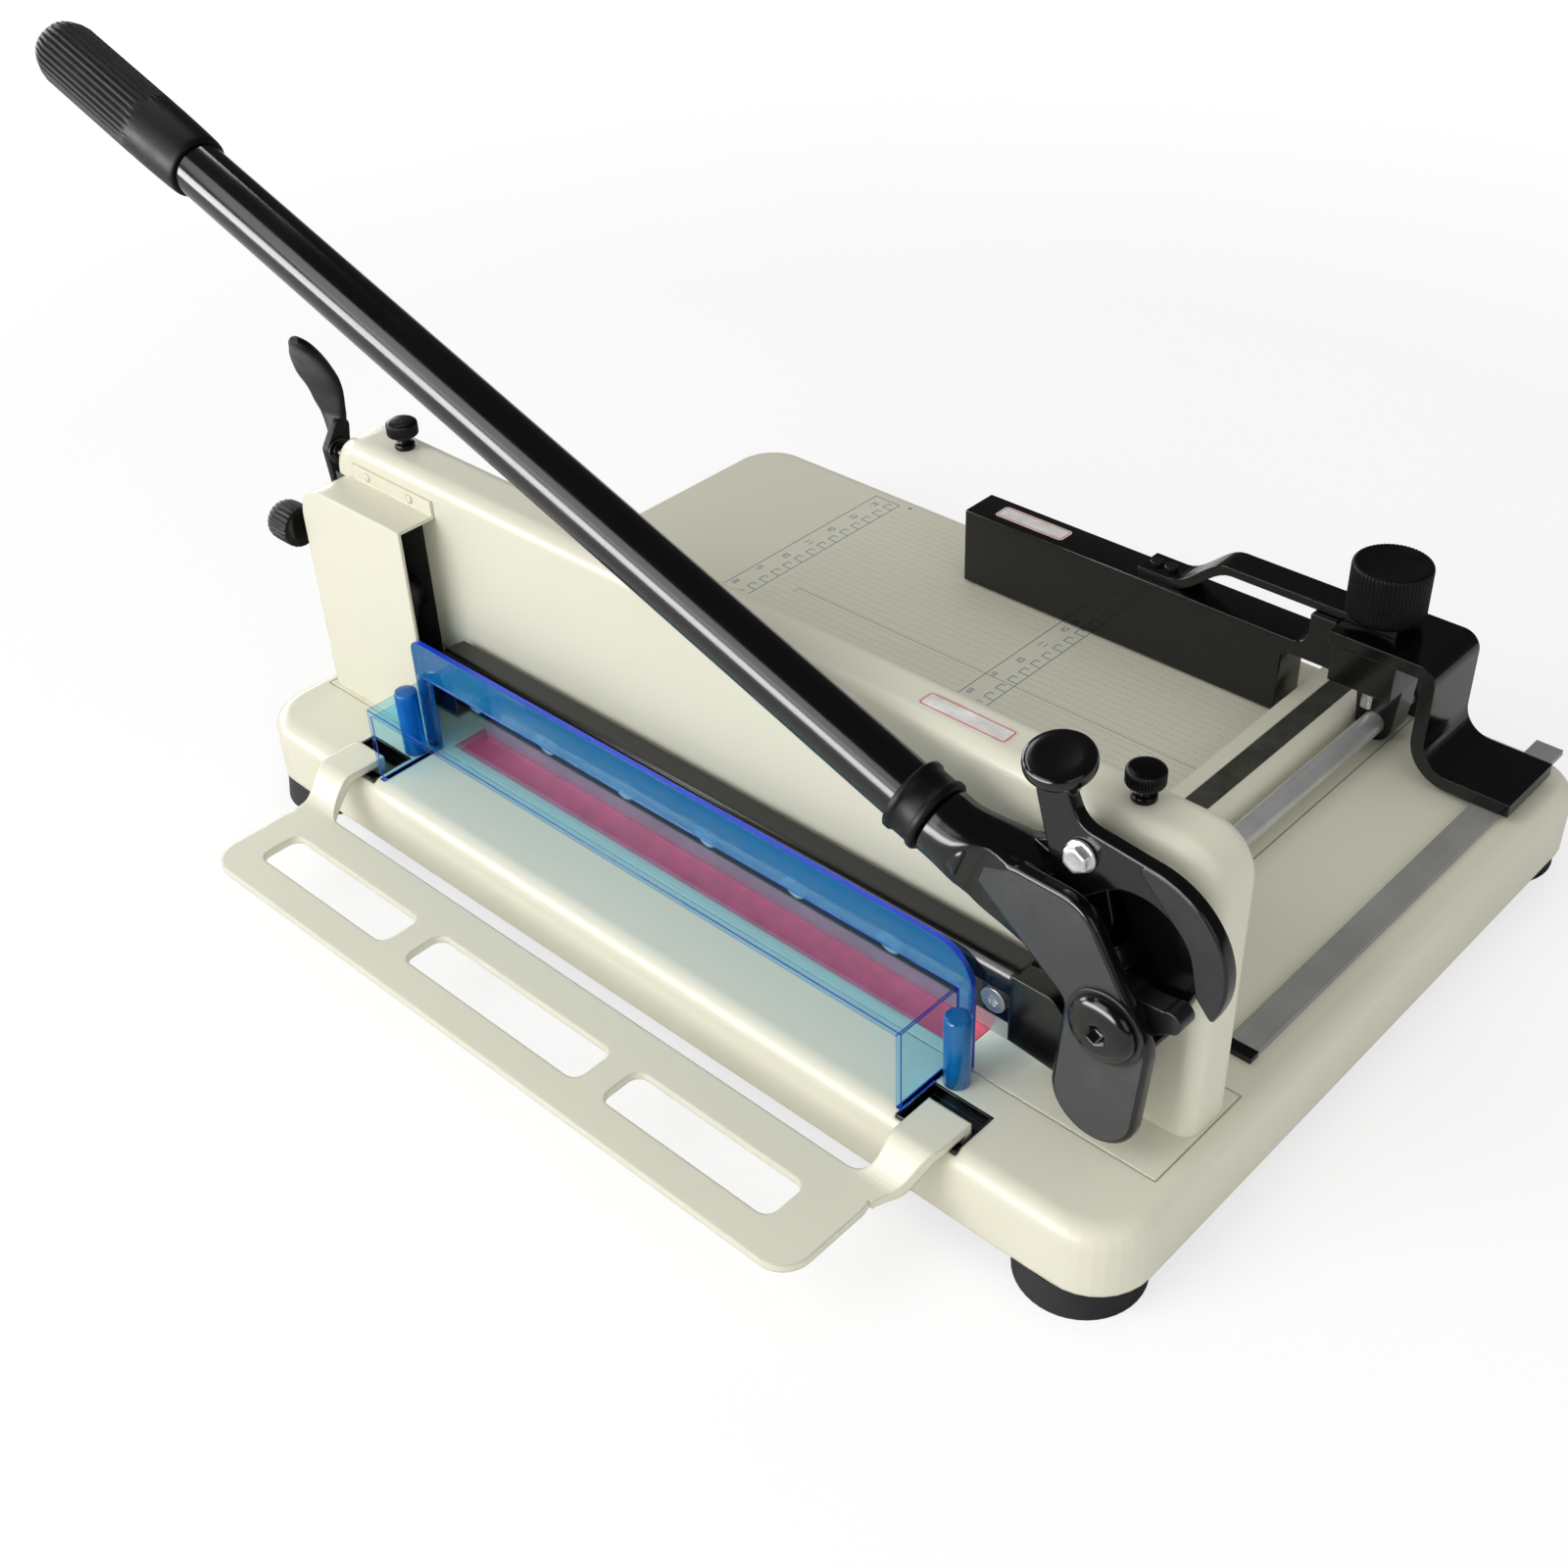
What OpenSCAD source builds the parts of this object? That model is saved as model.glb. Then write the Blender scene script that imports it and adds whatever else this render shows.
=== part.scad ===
// Stack paper cutter: a long lever drives a level blade carrier on two equal cranks,
// a crank with racks drives the paper clamp, and a back gauge slides on a rod.
// Drawn with the lever lowered and the blade on the cutting stick.

/* [Base] */
// Base past the left end of the bridge
base_past_left = 15.5; // [12:0.5:40]
// Base past the right end of the bridge
base_past_right = 12.5; // [12:0.5:40]
// Depth of the base
base_d = 402; // [398:2:460]
// Height of the base above its feet
base_h = 35; // [30:1:45]
// Corner radius of the base in plan
base_corner_r = 28; // [20:1:36]
// Radius of the top edge of the base
base_edge_r = 9; // [4:0.5:12]
// Wall of the base
base_wall = 5; // [3:0.5:8]
// Thickness of the base top
base_top_t = 11; // [10:0.5:14]
// Thickness of the bottom cover
bottom_t = 2; // [1:0.5:3]
// Diameter of a foot
foot_d = 56; // [40:1:60]
// Height of a foot
foot_h = 14; // [10:1:20]
// Centre of a foot in from the side of the base
foot_inset_x = 31; // [28:1:40]
// Centre of a foot in from the front or rear of the base
foot_inset_y = 25; // [24:1:40]
// Ends of the bed plate in from the ends of the base
bed_inset = 11.5; // [10:0.5:11.5]
// Depth of the bed plate
bed_d = 60; // [58:1:64]
// Thickness of the bed plate
bed_t = 5; // [4:0.5:6]
// Open seam around the bed plate
bed_seam = 0.5; // [0.3:0.1:1]
// Length of the cutting stick
stick_l = 338; // [320:1:350]
// Width of the cutting stick
stick_w = 20; // [14:1:20]
// Thickness of the cutting stick
stick_h = 8; // [7:0.5:9]

/* [Bridge] */
// Left end of the bridge past the pivot of the swing link
bridge_past_left = 57; // [56:0.5:60]
// Right end of the bridge past the lever pivot
bridge_past_right = 23.9; // [22:0.1:26]
// Front face of the bridge, from the middle of the drawing
bridge_front = -133.3; // [-136:0.1:-131]
// Depth of the bridge
bridge_d = 29.5; // [29:0.5:34]
// Height of the bridge above the bed
bridge_h = 142.5; // [140:0.5:150]
// Radius of the two top corners of the bridge
bridge_corner_r = 22; // [16:1:26]
// Radius of the long edges of the bridge
bridge_edge_r = 8; // [4:0.5:9]
// Wall of the bridge
bridge_wall = 3; // [2:0.5:3]
// Width of the left pillar
pillar_left_w = 63; // [60:1:66]
// Width of the right pillar
pillar_right_w = 59; // [56:1:60]
// Clear height of the throat under the bridge
throat_h = 44; // [43:0.5:48]
// Left cover: its right edge, from the left end of the bridge
cover_w = 83; // [80:1:86]
// Height of the left cover
cover_h = 123.5; // [116:0.5:126]
// Sheet thickness of the left cover
cover_t = 1.5; // [1:0.1:1.6]
// Radius of the cover's top corner
cover_corner_r = 20; // [14:1:24]

/* [Lever] */
// Pivot of the lever, from the middle of the drawing
pivot_x = 243.6; // [242:0.2:245]
// Pivot of the lever above the bed
pivot_up = 72.1; // [70:0.1:74]
// Diameter of the pivot bolt
pivot_d = 16; // [12:0.5:18]
// Slope of the lowered lever
lever_tilt = 19.2; // [15:0.2:24]
// Axis of the lever tube above the pivot, square to the tube
lever_offset = 20.1; // [16:0.1:24]
// Lever tube diameter
tube_d = 26; // [22:0.5:28]
// Wall of the lever tube
tube_wall = 2.5; // [1.5:0.5:4]
// Ferrule: start, measured along the lever from the pivot
ferrule_start = 98; // [94:1:104]
// Ferrule length
ferrule_l = 16; // [10:1:24]
// Ferrule wall outside the tube
ferrule_wall = 2.6; // [1.5:0.1:4]
// Grip: start, measured along the lever from the pivot
grip_start = 571; // [540:1:580]
// Length of the plain collar of the grip
grip_collar_l = 36; // [25:1:45]
// End of the grip, measured along the lever from the pivot
grip_end = 691; // [680:1:720]
// Grip diameter over its ribs
grip_d = 32; // [31:0.5:38]
// Number of long ribs around the grip
grip_ribs = 32; // [20:1:40]
// Depth of the grooves between the grip ribs
grip_groove = 1.1; // [0.6:0.1:1.5]
// Tube axis in front of the bridge
tube_plane = 24.5; // [24:0.1:26]

/* [Blade linkage] */
// Carrier pin left of the lever pivot
crank_left = 15.5; // [14:0.1:17]
// Carrier pin below the lever pivot
crank_down = 42; // [41:0.1:43]
// Carrier pin diameter
carrier_pin_d = 11; // [8:0.5:12]
// Pivot of the swing link left of the carrier's thick part
link_past_left = 40; // [39:0.1:41]
// Left link pin diameter
link_pin_d = 10; // [8:0.5:10]
// Right end of the carrier's thick part left of the carrier pin
carrier_pin_gap = 34.6; // [34:0.1:36]
// Left end of the carrier's thick part past the blade
carrier_past_left = 3; // [1:0.5:6]
// Right end of the blade past the carrier's thick part
blade_past_right = 5; // [2:0.5:6]
// Underside of the carrier above the bed
carrier_up = 24; // [22:0.5:26]
// Height of the carrier
carrier_h = 36; // [34:0.5:38]
// Height of the carrier's front rib
carrier_rib_h = 14; // [10:0.5:16]
// Thickness of the carrier at its rib
carrier_t = 16.4; // [16:0.1:16.8]
// Thickness of the carrier's web behind the screws
carrier_web_t = 10.4; // [8:0.1:11]
// Length of the blade
blade_l = 363; // [330:1:400]
// Height of the blade
blade_h = 46; // [44:0.5:48]
// Thickness of the blade
blade_t = 3.6; // [3:0.1:3.8]
// Height of the blade's bevel
blade_bevel_h = 14; // [8:0.5:16]
// Blade edge above the stick when lowered
blade_lift = 0.2; // [0.1:0.1:0.4]
// Gap between the blade and the bridge
blade_gap = 0.5; // [0.4:0.1:0.8]
// Number of blade screws
screw_count = 7; // [5:1:8]
// End screw in from the end of the blade
screw_end = 17.1; // [14:0.1:20]
// Blade screw height above the bed
screw_up = 37.5; // [36:0.5:38]

/* [Safety catch] */
// Catch bolt left of the lever pivot
catch_left = 23; // [22:0.5:24]
// Catch bolt above the lever pivot
catch_above = 63.7; // [62:0.1:66]
// Thickness of the catch
catch_t = 6.5; // [5:0.5:10]
// Outer radius of the catch's hook
hook_r = 37.5; // [36:0.5:41]
// Swing of the catch from free to hooked
catch_swing = 8; // [7:0.5:9]
// Diameter of the thumb pad
pad_d = 31; // [24:1:34]

/* [Paper clamp] */
// Length of the clamp bar
clamp_l = 380; // [360:1:390]
// Height of the clamp bar
clamp_h = 20; // [16:0.5:20]
// Underside of the raised clamp above the bed
clamp_up = 42.3; // [42:0.1:42.6]
// Clamp shaft height above the bed
shaft_up = 90; // [88:0.5:92]
// Clamp shaft diameter
shaft_d = 12; // [10:0.5:12]
// Module of the racks and pinions
rack_module = 1; // [0.9:0.05:1]
// Teeth of a pinion
pinion_teeth = 16; // [14:1:16]
// Distance between the two racks
rack_spread = 260; // [200:5:280]
// Radius of the ratchet wheel
ratchet_r = 20; // [18:0.5:21]
// Teeth of the ratchet wheel
ratchet_teeth = 24; // [20:4:24]
// Radius at which the crank grip turns
crank_r = 37.5; // [36:0.5:40]
// Crank grip diameter
crank_grip_d = 24; // [22:1:30]
// Crank grip length
crank_grip_l = 15; // [14:1:34]

/* [Guard and front plate] */
// Length of the guard
guard_w = 346.4; // [330:0.2:347]
// Right end of the guard left of the lever pivot
guard_pivot_gap = 73.5; // [73:0.1:75]
// Depth of the guard
guard_d = 39; // [34:0.5:39]
// Height of the guard
guard_h = 43.4; // [30:0.2:46]
// Height of the guard's back wall
guard_back_h = 64; // [50:1:66]
// Wall of the guard
guard_t = 3; // [2:0.5:4]
// Diameter of a guard post
post_d = 14; // [10:0.5:14]
// Height of a guard post
post_h = 40; // [30:1:42]
// Left edge of the front plate past the guard
plate_past_left = 26.7; // [26:0.1:28]
// Right edge of the front plate past the guard
plate_past_right = 15.9; // [15:0.1:17]
// Depth of the front plate
plate_d = 58; // [54:0.5:62]
// Gap between the front plate and the base
plate_gap = 22.8; // [20:0.2:26]
// Thickness of the front plate
plate_t = 4; // [3:0.5:4]
// Drop of the front plate below the bed
plate_drop = 11; // [8:0.5:14]
// Width of an arm of the front plate
arm_w = 22; // [20:0.5:24]
// Length of an end window
window_end_w = 98.5; // [80:0.5:100]
// Length of the middle window
window_mid_w = 119; // [100:0.5:121]
// Bar between two windows
window_bar = 15; // [13:0.5:16]
// Border in front of and behind the windows
window_border = 16.5; // [14:0.5:20]

/* [Table and back gauge] */
// Left edge of the side rail, from the middle of the drawing
rail_left = 137.5; // [137:0.5:138]
// Width of the side rail
rail_w = 34; // [33:0.5:34]
// Height of the side rail
rail_h = 11; // [8:0.5:11]
// Width of the rail's inset strip
inset_w = 13; // [8:0.5:14]
// Guide rod, from the middle of the drawing
rod_x = 182.5; // [182:0.1:183]
// Guide rod diameter
rod_d = 12; // [10:0.5:12]
// Guide rod axis above the bed
rod_up = 10; // [9:0.5:10]
// Width of the steel strip
strip_w = 14; // [10:0.5:18]
// Left edge of the steel strip, from the middle of the drawing
strip_left = 247.5; // [244:0.5:250]
// Thickness of the steel strip
strip_t = 3; // [2:0.5:3]
// Strip overhang past the rear of the base
strip_over = 3; // [1:0.5:8]
// Front face of the fence, from the middle of the drawing
fence_front = 144.2; // [100:0.2:150]
// Left end of the fence, from the middle of the drawing
fence_left = -71.5; // [-90:0.5:-60]
// Depth of the fence
fence_d = 23.5; // [20:0.5:26]
// Height of the fence
fence_h = 46; // [40:0.5:48]
// Wall of the fence
fence_t = 3; // [2:0.5:4]
// Depth of the gauge carriage
carriage_d = 44; // [42:0.5:48]
// Plate thickness of the gauge carriage
carriage_t = 7; // [5:0.5:8]
// Top of the gauge carriage above the bed
carriage_up = 66; // [62:0.5:68]
// Clamping knob, from the middle of the drawing
knob_x = 177; // [176:0.5:182]
// Clamping knob diameter
knob_d = 39; // [34:0.5:44]
// Clamping knob height
knob_h = 28; // [22:0.5:34]
// Flutes around the clamping knob
knob_flutes = 60; // [40:2:72]

/* [Hidden] */
$fn = 64;
// Clearances: running fits, slip fits and plain gaps between pieces
run_fit = 0.05;
slip_fit = 0.02;
gap = 0.3;
// Screw sizes: shank and head radii
small_shank_r = 2;
small_head_r = 3.6;
blade_shank_r = 3;
blade_head_r = 6;
blade_head_h = 3.4;
bolt_r = 4;
bolt_head_r = 7;
bolt_head_h = 5;

// Colours
cream = "#dedcc6";
black = "#161616";
dark = "#2e2f30";
blue = [0.15, 0.5, 0.85, 0.55];
red = "#b23250";
steel = "#b9bcbe";

// Heights and ends
deck = foot_h + base_h;
base_front = -base_d / 2;
base_rear = base_d / 2;

// Chain along the machine, from the lever pivot to the left end of the base
carrier_right = pivot_x - crank_left - carrier_pin_gap;
blade_right = carrier_right + blade_past_right;
blade_left = blade_right - blade_l;
carrier_left = blade_left - carrier_past_left;
carrier_l = carrier_right - carrier_left;
link_pivot_x = carrier_left - link_past_left;
bridge_left = link_pivot_x - bridge_past_left;
bridge_right = pivot_x + bridge_past_right;
base_left = bridge_left - base_past_left;
base_right = bridge_right + base_past_right;
base_mid = (base_left + base_right) / 2;
base_w = base_right - base_left;
bed_left = base_left + bed_inset;
bed_right = base_right - bed_inset;
bridge_rear = bridge_front + bridge_d;
bridge_mid = bridge_front + bridge_d / 2;
bridge_top = deck + bridge_h;
throat_left = bridge_left + pillar_left_w;
throat_right = bridge_right - pillar_right_w;

// Bed and stick
bed_front = bridge_front - tube_plane;
bed_rear = bed_front + bed_d;
stick_mid_x = carrier_left + carrier_l / 2 - 14.5;
stick_y = bridge_front + 2 - stick_w / 2;

// Distance in front of the bridge, for the pieces of the cutting head
function ahead(d) = bridge_front - d;
blade_front = blade_gap + blade_t;
carrier_front = blade_front + carrier_t;
cover_front = carrier_front + 2;
rear_cheek_0 = 2.5;
cheek_rear_t = 6.8;
rear_cheek_1 = rear_cheek_0 + cheek_rear_t;
arm_back = rear_cheek_1 + 0.5;
front_cheek_0 = carrier_front + 3;
cheek_front_t = 7;
front_cheek_1 = front_cheek_0 + cheek_front_t;
boss_t = rear_cheek_0 - gap;
washer_t = 1.3;
washer_0 = front_cheek_1 + 0.2;
washer_1 = washer_0 + washer_t;
bolt_head_t = 5.4;
catch_back = (arm_back + front_cheek_0 - catch_t) / 2;
catch_face = catch_back + catch_t;

// Lever pivot, carrier pin and swing link
pivot = [pivot_x, deck + pivot_up];
pin = pivot + [-crank_left, -crank_down];
link_pivot = [link_pivot_x, pivot[1]];
link_pin = link_pivot + [-crank_left, -crank_down];
link_back = rear_cheek_0 + 2.8;
link_r = 9;
pivot_r = pivot_d / 2;
hub_r = pivot_r + 10.4;
lobe_r = 19.5;
lobe_mid = pin + [9, 0];
shoulder_mid = pivot + [-35, 37.5];
shoulder_r = 20;
root_mid = pivot + [-63, 40];
root_r = 8;
swell_mid = pivot + [-13, 24];
swell_r = 20.5;
waist_mid = pivot + [-12, 14];
waist_r = 10;
pin_lobe_r = 12;
crown_mid = pivot + [4, 30];
crown_r = 24;
grip_r = grip_d / 2;
tube_r = tube_d / 2;
socket_r = tube_r + ferrule_wall;
socket_depth = 20;
socket_start = ferrule_start - 32;

// Catch: bolt, hook circle, notch and the fixed lug that the notch takes
catch_at = pivot + [-catch_left, catch_above];
catch_bolt_r = 5;
lug_r = catch_bolt_r;
hook_mid = pivot + [4.3, 35.1];
hook_inner_mid = pivot + [3, 33.5];
hook_inner_r = hook_r - 13.5;
notch_mid = pivot + [28.5, 14.5];
notch_r = 8.5;
pad_mid = pivot + [-38, 94.5];
pad_t = 5;

// The place of a point after the catch has turned, seen from the front
function turned(p, c, a) =
    c + [(p - c)[0] * cos(a) + (p - c)[1] * sin(a), (p - c)[1] * cos(a) - (p - c)[0] * sin(a)];
lug_mid = turned(notch_mid, catch_at, catch_swing);
collar_r = pivot_r + 3.5;

// Clamp drive
pitch_r = rack_module * pinion_teeth / 2;
tip_r = pitch_r + rack_module;
root_gear_r = pitch_r - 1.25 * rack_module;
backlash = 0.3;
shaft_y = bridge_rear - bridge_wall - tip_r - 0.8;
shaft_z = deck + shaft_up;
shaft_r = shaft_d / 2;
rack_pitch_y = shaft_y - pitch_r;
clamp_front = bridge_front + bridge_wall + 1.5;
clamp_rear = bridge_rear - bridge_wall - 1.5;
clamp_mid_x = (throat_left + throat_right) / 2 + 3;
clamp_z = deck + clamp_up;
rack_top = bridge_top - bridge_wall - 2.5;
rack_w = 10;
pinion_w = 8;
rack_x = [clamp_mid_x - rack_spread / 2, clamp_mid_x + rack_spread / 2];
rib_x = rack_x[1] + 22;
rib_t = 6;
bush_r = shaft_r + 3;
ratchet_t = 5;
ratchet_x = bridge_left - 1 - ratchet_t;
crank_t = 5.5;
crank_x = ratchet_x - 1 - crank_t;
crank_tilt = 173;
crank_end = [shaft_y + crank_r * cos(crank_tilt), shaft_z + crank_r * sin(crank_tilt)];
release_at = [bridge_mid - 8.5, bridge_top - 13.5];
release_pin_r = 4;
release_head_r = 5;
release_head_t = 2;
pawl_angle = 150;

// Thumb screws on the bridge
thumb_r = 9;
thumb_h = 9;
thumb_neck = 7.5;
thumb_shank_r = 3;
thumb_x = [bridge_left + 46, bridge_right - 44.5];

// Guard, front plate and slots
guard_back = ahead(cover_front + gap);
guard_front = guard_back - guard_d;
guard_right = pivot_x - guard_pivot_gap;
guard_left = guard_right - guard_w;
post_y = guard_back - guard_t - post_d / 2 - 1;
post_x = [guard_left - post_d / 2 - gap, guard_right + post_d / 2 + gap];
plate_rear = base_front - plate_gap;
plate_front = plate_rear - plate_d;
plate_left = guard_left - plate_past_left;
plate_right = guard_right + plate_past_right;
plate_top = deck - plate_drop;
plate_r = 14;
trim_t = 1.2;
slot_w = arm_w + 10;
slot_left = [plate_left - 7.5, guard_right - 1.2];
arm_left = [slot_left[0] + 2.6, slot_left[1] + slot_w - 2.6 - arm_w];
slot_front = guard_front - 2.5;
slot_rear = slot_front + 25;
slot_depth = 8;
hook_rear = slot_rear - 12;

// Table pieces
table_front = bridge_rear + gap;
rail_rear = base_rear - 4;
rail_right = rail_left + rail_w;
inset_left = rail_left + 9.5;
inset_t = 2;
rod_z = deck + rod_up;
rod_r = rod_d / 2;
support_t = 10;
strip_front = bridge_rear + 30;
strip_rear = base_rear + strip_over;
cap_l = 6;
gauge_lift = 0.5;
fence_rear = fence_front + fence_d;
fence_right = 161;
fence_base = deck + gauge_lift;
fence_top = fence_base + fence_h;
fence_step = deck + rail_h + 1.5;
carriage_front = fence_front - 8.7;
carriage_rear = carriage_front + carriage_d;
carriage_top = deck + carriage_up;
carriage_r = 2.5;
carriage_wall_x = 212;
foot_mid_x = carriage_wall_x + carriage_t + 15;
foot_low = deck + strip_t + gauge_lift;
carriage_right = strip_left + strip_w + 4.5;
strap_t = 4.5;
strap_front = fence_front + 4;
strap_rear = fence_rear - 1.5;
strap_left = 42;
hub_front = fence_front - 4;
hub_rear = fence_rear + 4.5;
hub_wall = 4;
knob_y = fence_front + 15.8;
knob_r = knob_d / 2;
stud_r = 5;
strap_end = knob_x + stud_r + 8;

// Offsets that put the origin under the middle of the whole object
dome_r = grip_r - grip_groove - 0.3;
lever_tip = pivot_x - cos(lever_tilt) * (grip_end - dome_r) + sin(lever_tilt) * lever_offset - dome_r;
hook_tip = hook_mid[0] + hook_r;
mid_x = (lever_tip + hook_tip) / 2;
mid_y = (plate_front + strip_rear) / 2;

// Points on an arc, from angle a to angle b
function arc_pts(c, r, a, b, n = 10) =
    [for (i = [0 : n]) c + r * [cos(a + (b - a) * i / n), sin(a + (b - a) * i / n)]];

// Points around a rectangle with round corners
function rect_pts(x0, y0, x1, y1, r) = concat(
    arc_pts([x1 - r, y1 - r], r, 0, 90),
    arc_pts([x0 + r, y1 - r], r, 90, 180),
    arc_pts([x0 + r, y0 + r], r, 180, 270),
    arc_pts([x1 - r, y0 + r], r, 270, 360)
);

// Puts the drawing, made around the middle of the base, over the origin
module place() {
    translate([-mid_x, -mid_y, 0]) children();
}

// Outlines in XZ, YZ or XY pulled straight along the third axis
module prism_y(pts, y0, y1) {
    translate([0, y1, 0]) rotate([90, 0, 0]) linear_extrude(y1 - y0) polygon(pts);
}
module prism_x(pts, x0, x1) {
    translate([x0, 0, 0]) rotate([90, 0, 90]) linear_extrude(x1 - x0) polygon(pts);
}
module prism_z(pts, z0, z1) {
    translate([0, 0, z0]) linear_extrude(z1 - z0) polygon(pts);
}
module rod_y(at, r, y0, y1) {
    translate([at[0], y0, at[1]]) rotate([-90, 0, 0]) cylinder(r = r, h = y1 - y0);
}
module rod_x(at, r, x0, x1) {
    translate([x0, at[0], at[1]]) rotate([0, 90, 0]) cylinder(r = r, h = x1 - x0);
}
module rod_z(at, r, z0, z1) {
    translate([at[0], at[1], z0]) cylinder(r = r, h = z1 - z0);
}
module block(x0, x1, y0, y1, z0, z1) {
    translate([x0, y0, z0]) cube([x1 - x0, y1 - y0, z1 - z0]);
}

// A piece of the cutting head, from d0 to d1 in front of the bridge
module head_rod(at, r, d0, d1) {
    rod_y(at, r, ahead(d1), ahead(d0));
}
module head_plate(d0, d1) {
    translate([0, ahead(d0), 0]) rotate([90, 0, 0]) linear_extrude(d1 - d0) children();
}

// Runs its children along the lever tube, +Z outwards from the pivot
module on_lever() {
    translate([pivot[0], ahead(tube_plane), pivot[1]])
        rotate([0, lever_tilt - 90, 0])
            translate([lever_offset, 0, 0])
                children();
}

// Places of the feet
module at_feet() {
    for (sx = [-1, 1], sy = [-1, 1])
        translate([base_mid + sx * (base_w / 2 - foot_inset_x), sy * (base_d / 2 - foot_inset_y), 0]) children();
}

// Places of the bolts that hold the bridge, two in each pillar
bolt_x = [
    bridge_left + 16, bridge_left + pillar_left_w - 16,
    bridge_right - pillar_right_w + 16, bridge_right - 16
];
module at_bridge_bolts() {
    for (x = bolt_x) translate([x, bridge_mid, 0]) children();
}

// Base

module base_form() {
    ring_r = base_corner_r - base_edge_r;
    hull() for (sx = [-1, 1], sy = [-1, 1])
        translate([base_mid + sx * (base_w / 2 - base_corner_r), sy * (base_d / 2 - base_corner_r), 0]) {
            translate([0, 0, deck - base_edge_r])
                rotate_extrude($fn = 32) translate([ring_r, 0]) circle(base_edge_r, $fn = 32);
            translate([0, 0, foot_h]) cylinder(r = base_corner_r, h = 1, $fn = 32);
        }
}

module base_hollow(inset, z0, z1) {
    y = base_d / 2 - inset;
    prism_z(rect_pts(base_left + inset, -y, base_right - inset, y, base_corner_r - inset), z0, z1);
}

module base_shell() {
    color(cream) place() difference() {
        union() {
            difference() {
                base_form();
                base_hollow(base_wall, foot_h - 1, deck - base_top_t);
                base_hollow(base_wall / 2, foot_h - 1, foot_h + bottom_t);
            }
            at_feet() rod_z([0, 0], 9, foot_h + bottom_t, deck - base_top_t + 1);
        }
        block(bed_left - bed_seam, bed_right + bed_seam, bed_front - bed_seam, bed_rear + bed_seam,
            deck - bed_t, deck + 1);
        stick_room(deck - stick_h);
        for (x = slot_left) block(x, x + slot_w, slot_front, slot_rear, deck - slot_depth, deck + 1);
        at_feet() rod_z([0, 0], 2.4 + slip_fit, foot_h, foot_h + 18);
        at_bridge_bolts() rod_z([0, 0], bolt_r + gap, deck - base_top_t - 1, deck);
        for (x = post_x) rod_z([x, post_y], small_shank_r + 0.5 + slip_fit, deck - base_top_t - 1, deck + 1);
    }
}

module bottom_cover() {
    color(dark) place() difference() {
        base_hollow(base_wall / 2 + gap, foot_h, foot_h + bottom_t);
        at_feet() rod_z([0, 0], 2.4 + gap, foot_h - 1, foot_h + bottom_t + 1);
    }
}

foot_seat = foot_h / 2;
module feet() {
    color(black) place() at_feet() difference() {
        cylinder(d1 = foot_d, d2 = foot_d - 4, h = foot_h);
        rod_z([0, 0], 2.4 + gap, -1, foot_h + 1);
        rod_z([0, 0], 8, -1, foot_seat);
    }
}

module foot_screws() {
    color(steel) place() at_feet() {
        rod_z([0, 0], 2.4, foot_seat - 0.5, foot_h + 16);
        rod_z([0, 0], 5.5, foot_seat - 3.5, foot_seat);
    }
}

module stick_room(z0) {
    x = stick_l / 2 + gap;
    block(stick_mid_x - x, stick_mid_x + x, stick_y - stick_w / 2 - gap, stick_y + stick_w / 2 + gap, z0, deck + 1);
}

module bed_plate() {
    color(cream) place() difference() {
        block(bed_left, bed_right, bed_front, bed_rear, deck - bed_t, deck);
        stick_room(deck - bed_t - 1);
        at_bridge_bolts() rod_z([0, 0], bolt_r + gap, deck - bed_t - 1, deck + 1);
        for (x = post_x) rod_z([x, post_y], small_shank_r + 1, deck - bed_t - 1, deck + 1);
    }
}

module cutting_stick() {
    color(red) place()
        block(stick_mid_x - stick_l / 2, stick_mid_x + stick_l / 2,
            stick_y - stick_w / 2, stick_y + stick_w / 2, deck - stick_h, deck);
}

// Bridge and its cover

module bridge_form() {
    ring_r = bridge_corner_r - bridge_edge_r;
    hull() for (x = [bridge_left, bridge_right], y = [bridge_front + bridge_edge_r, bridge_rear - bridge_edge_r]) {
        inward = x < 0 ? 1 : -1;
        translate([x + inward * bridge_corner_r, y, bridge_top - bridge_corner_r]) rotate([90, 0, 0])
            rotate_extrude($fn = 32) translate([ring_r, 0]) circle(bridge_edge_r, $fn = 32);
        translate([x + inward * bridge_edge_r, y, deck]) cylinder(r = bridge_edge_r, h = 1, $fn = 32);
    }
}

// Outline of the hollow inside the bridge in XZ, its upper corners rounded with the outer ones
function bridge_cavity() = concat(
    [[bridge_left + bridge_wall, deck - 1], [bridge_right - bridge_wall, deck - 1]],
    arc_pts([bridge_right - bridge_corner_r, bridge_top - bridge_corner_r], bridge_corner_r - bridge_wall, 0, 90),
    arc_pts([bridge_left + bridge_corner_r, bridge_top - bridge_corner_r], bridge_corner_r - bridge_wall, 90, 180)
);

module bridge_bosses() {
    at_bridge_bolts() rod_z([0, 0], bridge_d / 2 - bridge_wall + 0.5, deck, deck + 26);
    head_rod(pivot, 17, -9, boss_t);
    head_rod(link_pivot, 12, -8, -1);
    rod_x([shaft_y, shaft_z], bush_r + 3, bridge_left + 1, bridge_left + 9);
    for (x = thumb_x) rod_z([x, bridge_mid], 8, bridge_top - 16, bridge_top - 2);
    block(rib_x, rib_x + rib_t, bridge_front + 1, bridge_rear - 1, deck + clamp_up + clamp_h + 3, bridge_top - 2);
    rod_x(release_at, 8, bridge_left + 4, bridge_left + 14);
}

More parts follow.
